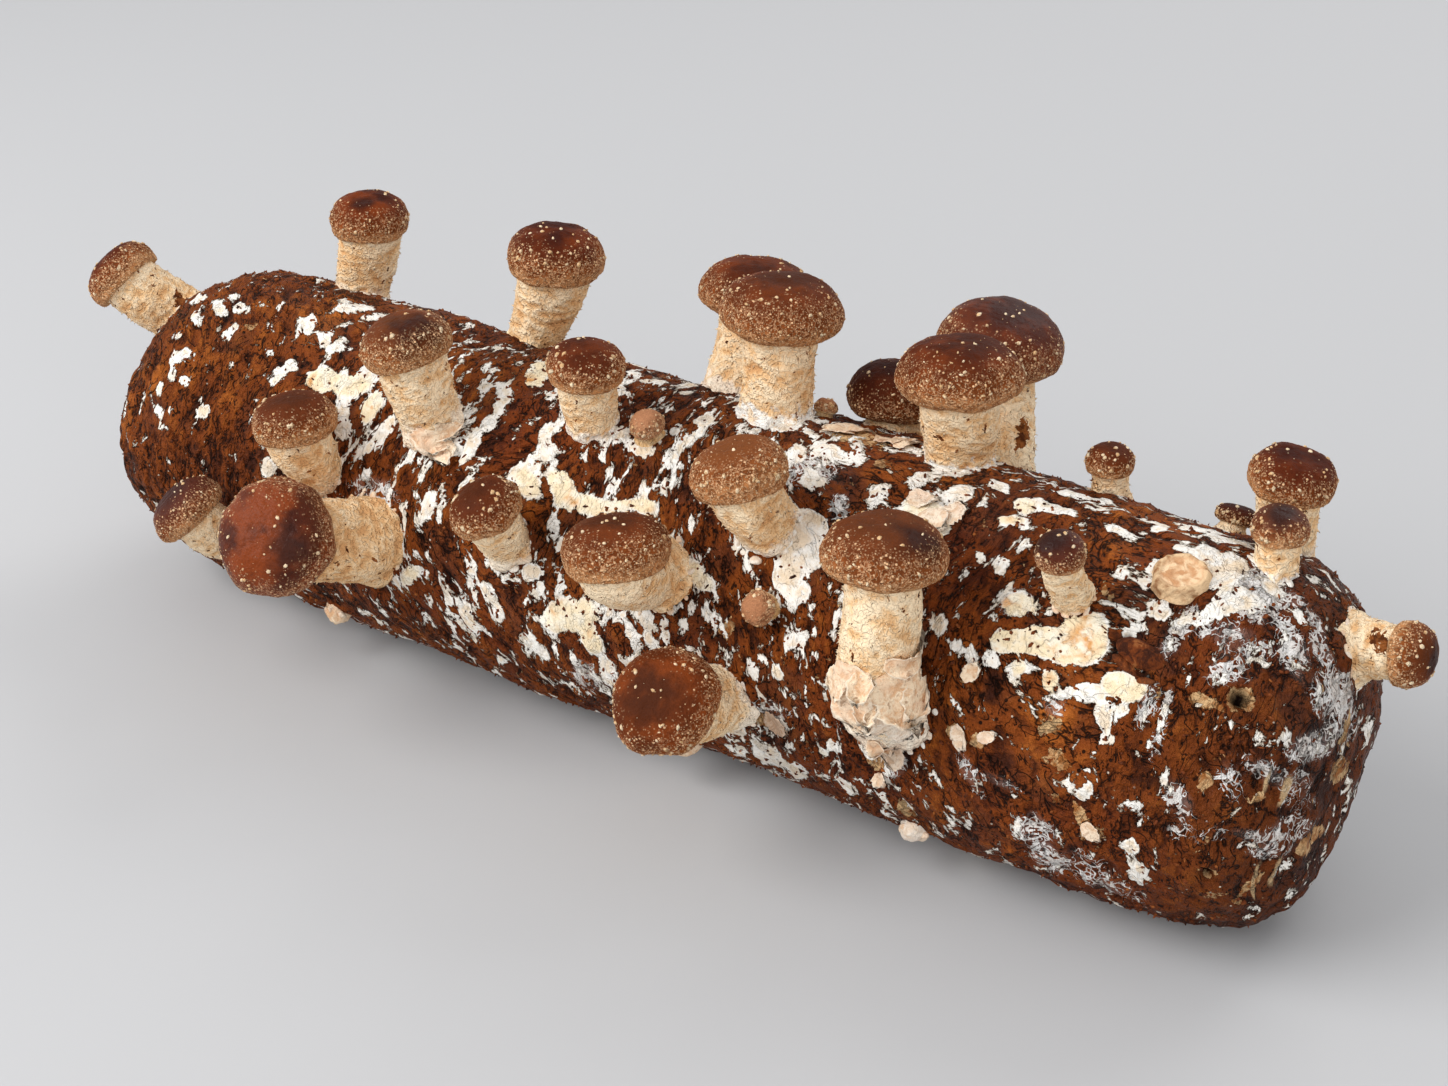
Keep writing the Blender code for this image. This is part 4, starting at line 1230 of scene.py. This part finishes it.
# Torn tissue round the long stem's foot and elsewhere, placed in pixels of the photo: across, down,
# turn in the picture, length, width, lift and curl in mm, and how white and how brown it is, 0 to 1.
LONG_STEM_FLAPS = (
    (846, 663, -108, 19, 13, 2.8, 1.8, 0.1, 0), (842, 672, -142, 8, 9, 2.4, 1.4, 0.1, 0),
    (863, 672, -98, 9, 6, 3.4, 1.6, 0.0, 0), (868, 690, -104, 9, 6, 3.0, 1.4, 0.0, 0),
    (856, 704, -95, 9, 9, 2.0, 1.2, 0.3, 0), (884, 664, -14, 12, 5, 3.6, 1.0, 0.0, 0),
    (890, 672, -62, 19, 15, 3.2, 2.0, 0.0, 0), (914, 672, -78, 13, 8, 2.8, 1.4, 0.0, 0),
    (880, 714, -85, 8, 8, 0.5, 0.5, 0.5, 0), (892, 724, -60, 8, 6, 0.6, 0.5, 0.5, 0),
    (872, 740, -88, 9, 5, 1.2, 1.0, 0.0, 0.1), (893, 748, -95, 9, 7, 1.4, 1.2, 0.3, 0.25),
    (880, 772, -90, 4, 5, 0.8, 0.8, 0.2, 0.1),
)
OTHER_FLAPS = (
    (432, 430, -92, 6.5, 12, 1.8, 1.0, 0.1, 0), (444, 424, -62, 5, 9, 1.8, 1.0, 0.1, 0),
    (424, 436, -120, 4.5, 7, 1.2, 0.8, 0.2, 0), (436, 444, -95, 4.5, 9, 1.4, 0.8, 0.1, 0),
    (830, 430, -10, 12, 6, 0.5, 0.7, 0.1, 0.2), (855, 434, 170, 10, 6, 0.5, 0.8, 0.0, 0.1),
    (875, 440, -20, 12, 7, 0.5, 0.6, 0.0, 0.3), (893, 444, -5, 5, 5, 0.5, 0.6, 0.1, 0.1),
    (908, 502, 20, 8, 7, 0.8, 0.8, 0.3, 0.05), (925, 512, -60, 9, 8, 0.9, 0.9, 0.3, 0.05),
    (940, 520, 30, 8, 7, 0.9, 0.8, 0.3, 0.05), (963, 680, 35, 6, 4, 0.8, 0.6, 0.1, 0),
    (955, 725, -60, 7, 4, 0.5, 0.5, 0.4, 0.1), (978, 738, 10, 5, 3, 0.5, 0.4, 0.3, 0.1),
    (1085, 822, -60, 6, 4, 0.6, 0.5, 0.2, 0.1), (765, 715, -10, 8, 6, 0.6, 0.7, 0.2, 0.4),
)


def make_pin(number, x, around, width, material):
    """A young mushroom: a round head on a short pale foot."""
    place, out = even_surface(x * MM, around)
    foot = drop(place, out)[0] - out * 0.0006
    size = width * MM
    profile = smooth_line(PIN_KNOTS, 34)[1:-1]
    edges = np.interp(profile[:, 1], (-0.05, 0.0, 0.22, 0.36, 0.50, 0.86), (1.9, 1.7, 1.4, 1.05, 0.85, 0.0))
    count = 48
    flat, normals = cap_surface(foot, out, profile, size, count)
    bumps = ripples(flat, (0.35, 210, number), (0.2, 700, number))
    flat = flat + normals * (bumps * MM)[:, None]
    edge = np.repeat(edges, count)
    tone, warm = PIN_SKINS[number - 1]
    shape = Shape(edge=0.0, tone=tone, warm=warm, shine=0.0, spot=0.0, scale=0.0)
    shape.wrap(count, foot + out * 0.90 * size, flat, foot - out * 0.05 * size, edge=(0, edge, 2))
    add_scales(shape, 50 + number, flat, normals, edge, np.repeat(profile[:, 0], count), 0.22, 0)
    keep(shape.build(f"young_flesh_{number:02}", material), "young_flesh", f"pin_{number:02}")


def lump(shape, middle, axes, sizes, seed, rough, rows=16, count=28, **values):
    """A rough ball. `axes` are three directions, the last of them up, and `sizes` its half sizes."""
    lift = np.pi * (np.arange(1, rows + 1) / (rows + 1) - 0.5)
    turn = 2 * np.pi * np.arange(count) / count
    level = np.cos(lift)
    x, y = np.outer(level, np.cos(turn)), np.outer(level, np.sin(turn))
    z = np.outer(np.sin(lift), np.ones(count))
    ball = np.concatenate([[(0, 0, -1)], np.stack([x, y, z], -1).reshape(-1, 3), [(0, 0, 1)]])
    place = middle + (ball * sizes) @ np.stack(axes)
    grow = 1 + rough * ripples(place, (0.6, 150, seed), (0.4, 340, seed), (0.25, 800, seed))
    place = middle + (ball * grow[:, None] * sizes) @ np.stack(axes)
    shape.add(place, *ring_faces(rows, count), **values)


def heading_on(turn, normal):
    """The direction that runs off at `turn` in the picture, laid on a surface, and the one beside it."""
    angle = math.radians(turn)
    ahead = RIGHTWARD * math.cos(angle) + UPWARD * math.sin(angle)
    ahead = unit(ahead - normal * (ahead @ normal))
    return ahead, np.cross(normal, ahead)


def flap(shape, u, v, turn, length, width, lift, curl, seed, thick=0.5, **values):
    """A torn flap of tissue on what the photo shows at (u, v): it runs off at `turn` in the picture.
    Its sizes are in mm. It rises to `lift` at its tip, and its sides curl up by `curl`."""
    rows, columns = 13, 11
    root, normal = struck(u, v)
    heading, side = heading_on(turn, normal)
    draw = np.random.default_rng(seed)
    s = np.linspace(0, 1, rows)[:, None]
    t = np.linspace(-1, 1, columns)[None]
    jag = np.repeat(draw.uniform(-0.16, 0.10, (1, columns)), rows, 0) * s**2
    along = length * (s - 0.22 * s * t * t + jag)
    breadth = 0.5 * width * (0.40 + 0.66 * np.sin(np.pi * (0.08 + 0.80 * s)))
    breadth = breadth * (1 + draw.uniform(-0.14, 0.14, (rows, 1)))
    beside = breadth * t + 0.12 * length * draw.uniform(-1, 1) * s * s
    rise = (0.35 + lift * s**1.4 + curl * (t * t) * np.minimum(1, 2 * s)).ravel()
    flat = root + ((along[..., None] * heading + beside[..., None] * side) * MM).reshape(-1, 3)
    grounds = np.array([drop(place, normal)[0] for place in flat])
    crumple = ripples(grounds, (0.5, 150, seed), (0.12, 420, seed))
    middle = grounds + normal * ((rise + crumple * (0.5 + 0.5 * np.minimum(1, rise))) * MM)[:, None]
    middle = middle.reshape(rows, columns, 3)
    faces_out = np.cross(np.gradient(middle, axis=0), np.gradient(middle, axis=1))
    faces_out /= np.maximum(np.linalg.norm(faces_out, axis=2, keepdims=True), 1e-12)
    half = 0.5 * thick * MM * (1 - 0.75 * np.maximum(s**4, t**4))[..., None]
    rings = np.concatenate([middle + faces_out * half, (middle - faces_out * half)[:, ::-1]], 1)
    edge = np.maximum(s**5, np.abs(t) ** 5)
    rim = np.concatenate([edge, edge[:, ::-1]], 1).ravel()
    start, end = middle[0].mean(0), middle[-1].mean(0)
    shape.wrap(2 * columns, start, rings.reshape(-1, 3), end, rim=(0, rim, 1), **values)


def make_flaps(name, rows, material):
    """One piece from rows of flaps: u, v, turn, length, width, lift, curl, white and brown (0 to 1)."""
    shape = Shape(rim=0.0, milk=0.0, brown=0.0)
    for seed, (*sizes, milk, brown) in enumerate(rows):
        flap(shape, *sizes, seed, milk=milk, brown=brown)
    keep(shape.build(name, material), "stem_flesh")


def make_fold(material):
    """The rounded brown fold of skin near the right end, with its paler lip below, partly painted highlight.
    """
    shape = Shape(rim=0.0, milk=0.0, brown=1.0)
    for u, v, turn, sizes, rough, rim in FOLD_LUMPS:
        ground, normal = struck(u, v)
        axes = (*heading_on(turn, normal), normal)
        lump(shape, ground, axes, np.array(sizes) * MM, 3, rough, 24, 44, rim=rim)
    keep(shape.build("brown_fold", material), "rind")


def make_skirts(material):
    """Scraps of white and cream growth where each stem leaves the log."""
    shape = Shape(rim=0.0, milk=0.0, brown=0.0)
    draw = np.random.default_rng(21)
    for number, (x, around, *_, foot_width, _, _, _) in enumerate(MUSHROOMS, start=1):
        place, out = even_surface(x * MM, around)
        across, along = side_axes(out)
        total = int(7 + 0.5 * foot_width)
        for step in range(total):
            angle = 2 * math.pi * (step + draw.uniform(0, 0.8)) / total
            away = across * math.cos(angle) + along * math.sin(angle)
            spot = place + away * (0.5 * foot_width * MM * draw.uniform(0.92, 1.22))
            ground, normal = drop(spot, out)
            axes = frames_on(np.array([normal]), draw)[0]
            sizes = np.array((draw.uniform(0.7, 2.0), draw.uniform(0.5, 1.2), draw.uniform(0.3, 0.6))) * MM
            milk = min(1, MILKY.get(number, 0.1) + draw.uniform(0, 0.5))
            lump(shape, ground, axes, sizes, step, 0.7, 7, 12, milk=milk, rim=draw.uniform(0, 0.5))
    keep(shape.build("foot_scraps", material), "stem_flesh")


def make_chips(material):
    """Loose crumbs of bark all over the log."""
    draw = np.random.default_rng(41)
    shape = Shape()
    centres, frames = [], []
    for _ in range(CHIPS):
        x, around = draw.uniform(-194, 194), draw.uniform(0, 360)
        ground, normal = drop(*even_surface(x * MM, around))
        if ground[2] > 0.004:
            sizes = np.array((draw.uniform(0.4, 1.5), draw.uniform(0.3, 0.8), draw.uniform(0.25, 1.0))) * MM
            centres.append(ground)
            frames.append(frames_on(np.array([normal]), draw)[0] * sizes[:, None])
    shape.stamp(*FLECK, np.array(centres), np.array(frames))
    keep(shape.build("bark_chips", material), "rind")


def make_nub(number, x, around, width, height, material):
    """A knob of growth under the log, with smaller lumps round it."""
    place, out = even_surface(x * MM, around)
    ground = drop(place, out)[0]
    shape = Shape(rim=0.0, milk=0.0, brown=0.0)
    axes = (*side_axes(out), out)
    sizes = np.array((0.55 * width, 0.52 * width, height)) * MM
    lump(shape, ground - out * 0.0004, axes, sizes, number, 0.30, 22, 40, milk=NUB_WHITE[number - 1], rim=0.2)
    draw = np.random.default_rng(60 + number)
    for step in range(6):
        angle = step + draw.uniform(0, 0.6)
        away = axes[0] * math.cos(angle) + axes[1] * math.sin(angle)
        spot = ground + away * (0.42 * width * MM) + out * (0.35 * height * MM)
        small = np.array(draw.uniform(0.6, 1.5, 3)) * MM
        lump(shape, spot, axes, small, 9 * number + step, 0.6, 8, 14, milk=0.2, rim=draw.uniform(0.2, 0.9))
    keep(shape.build(f"stem_flesh_nub_{number:02}", material), "stem_flesh", f"nub_{number:02}")


def make_stump(material):
    """The round scar of a cut mushroom: a flat disc with rings, in a raised crust."""
    x, around, width, height = STUMP
    place, out = even_surface(x * MM, around)
    foot = drop(place, out)[0] - out * 0.0008
    size = width * MM
    rise = (height + 0.8) * MM / size
    profile = smooth_line([(r, h * rise) for r, h in STUMP_KNOTS], 40)[1:-1]
    count = 72
    flat, normals = cap_surface(foot, out, profile, size, count)
    ring = np.repeat(profile[:, 0] / 0.5, count)
    crust = held((ring - 0.75) / 0.2)
    bumps = 0.15 * ripple(flat, 300) + crust * ripples(flat, (0.45, 260, 3), (0.25, 700, 4))
    flat = flat + normals * (bumps * MM)[:, None]
    flat += 0.10 * MM * np.outer(np.sin(ring * 16), out) * (1 - crust)[:, None]
    shape = Shape(ring=0.0)
    top, under = foot + out * 0.80 * rise * size, foot - out * 0.1 * rise * size
    shape.wrap(count, top, flat, under, ring=(0, ring, 1))
    keep(shape.build("stem_flesh_stump", material), "stem_flesh", "cut_stump")


# Everything put together


def keep(piece, slot, *nodes):
    """Hands a piece over: it rides on the root and stands for the nodes that it replaces. Its slot is not
    used.
    """
    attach(piece, "root")
    if nodes:
        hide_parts(*nodes)


def tree_of(pieces):
    """A tree of the faces of several meshes, for finding where a line meets them."""
    points, faces = [], []
    for piece in pieces:
        first = len(points)
        points += [vertex.co.copy() for vertex in piece.data.vertices]
        faces += [tuple(first + corner for corner in face.vertices) for face in piece.data.polygons]
    return BVHTree.FromPolygons(points, faces)


def drop(place, out):
    """Where a line straight in through `place` meets the built surface, and the direction out of it there."""
    found = built.ray_cast(Vector(place + out * CLEAR), Vector(-out))
    if found[0] is None:
        return np.array(place), out
    return np.array(found[0]), np.array(found[1])


def struck(u, v):
    """What the photo shows at a pixel: the place on the built surface and the direction out of it."""
    scale = LENS / SENSOR * PHOTO_WIDTH
    right, down = (u - PHOTO_WIDTH / 2) / scale, (v - PHOTO_HEIGHT / 2) / scale
    found = built.ray_cast(Vector(EYE), Vector(-TOWARD_CAMERA + RIGHTWARD * right - UPWARD * down))
    return np.array(found[0]), np.array(found[1])


rind = rind_material()
cap_paint = cap_material("cap_skin", 0.06)
glossy_cap_paint = cap_material("glossy_cap_skin", 0.15)
stem_paint = stem_material()
torn_paint = torn_material()

log = make_log(rind)
keep(log, "rind", "log")
built = tree_of([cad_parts["log"]])
stems = []
for number, entry in enumerate(MUSHROOMS, start=1):
    x, around, cx, cy, cz, cap_width, top_width, foot_width, tilt, heading, dome = entry
    cap_centre = np.array((cx, cy, cz)) * MM
    cap_axis = heading_axis(tilt, heading)
    place, out = even_surface(x * MM, around)
    sizes = (cap_width * MM, top_width * MM, foot_width * MM)
    paint = glossy_cap_paint if SKINS[number - 1][2] >= GLOSSY else cap_paint
    cap = make_cap(number, cap_centre, cap_axis, sizes[0], dome, sizes[1], paint)
    keep(cap, "cap_skin", f"cap_{number:02}")
    stem = make_stem(number, drop(place, out)[0], out, cap_centre, cap_axis, *sizes, stem_paint)
    keep(stem, "stem_flesh", f"stem_{number:02}")
    stems.append(stem)

built = tree_of([log])
for number, entry in enumerate(PINS, start=1):
    make_pin(number, *entry, cap_paint)
for number, entry in enumerate(NUBS, start=1):
    make_nub(number, *entry, torn_paint)
make_stump(stump_material())
make_chips(chip_material())
make_skirts(torn_paint)
make_fold(torn_paint)
built = tree_of([log, *stems])
make_flaps("long_stem_flaps", LONG_STEM_FLAPS, torn_paint)
make_flaps("other_flaps", OTHER_FLAPS, torn_paint)


# Floor, lights and camera

FLOOR_REACH = 12.0

# Round lights that face the log: name, place, size and power.
LIGHTS = (
    ("key", (-0.95, -1.15, 1.25), 1.5, 31),
    ("fill", (1.3, -1.3, 0.75), 1.4, 10),
    ("back", (0.3, 1.4, 1.3), 1.2, 10),
)
LIT_PLACE = Vector((0, 0, 0.05))
SKY_COLOUR, SKY_STRENGTH = (0.97, 0.98, 1.0, 1), 0.62


def make_floor():
    corners = [(-1, -1, 0), (1, -1, 0), (1, 1, 0), (-1, 1, 0)]
    mesh = bpy.data.meshes.new("floor")
    mesh.from_pydata([(x * FLOOR_REACH, y * FLOOR_REACH, 0) for x, y, _ in corners], [], [(0, 1, 2, 3)])
    mesh.materials.append(Paint("floor_paint").finish((190, 190, 191), 0.9, 0.1))
    in_scene("floor", mesh)


def add_light(name, place, size, power):
    data = bpy.data.lights.new(name, "AREA")
    data.shape = "DISK"
    data.size = size
    data.energy = power
    made = in_scene(name, data)
    made.location = place
    made.rotation_euler = (LIT_PLACE - Vector(place)).to_track_quat("-Z", "Y").to_euler()


make_floor()
for light in LIGHTS:
    add_light(*light)

world = bpy.data.worlds.new("studio")
bpy.context.scene.world = world
world.use_nodes = True
sky = world.node_tree.nodes["Background"]
sky.inputs["Color"].default_value = SKY_COLOUR
sky.inputs["Strength"].default_value = SKY_STRENGTH
bpy.context.scene.view_settings.view_transform = "Standard"

camera_data = bpy.data.cameras.new("camera")
camera_data.lens = LENS
camera_data.sensor_width = SENSOR
camera_data.clip_start, camera_data.clip_end = 0.01, 100
camera = in_scene("camera", camera_data)
camera.location = EYE
camera.rotation_mode = "QUATERNION"
camera.rotation_quaternion = Vector(-TOWARD_CAMERA).to_track_quat("-Z", "Y")
bpy.context.scene.camera = camera
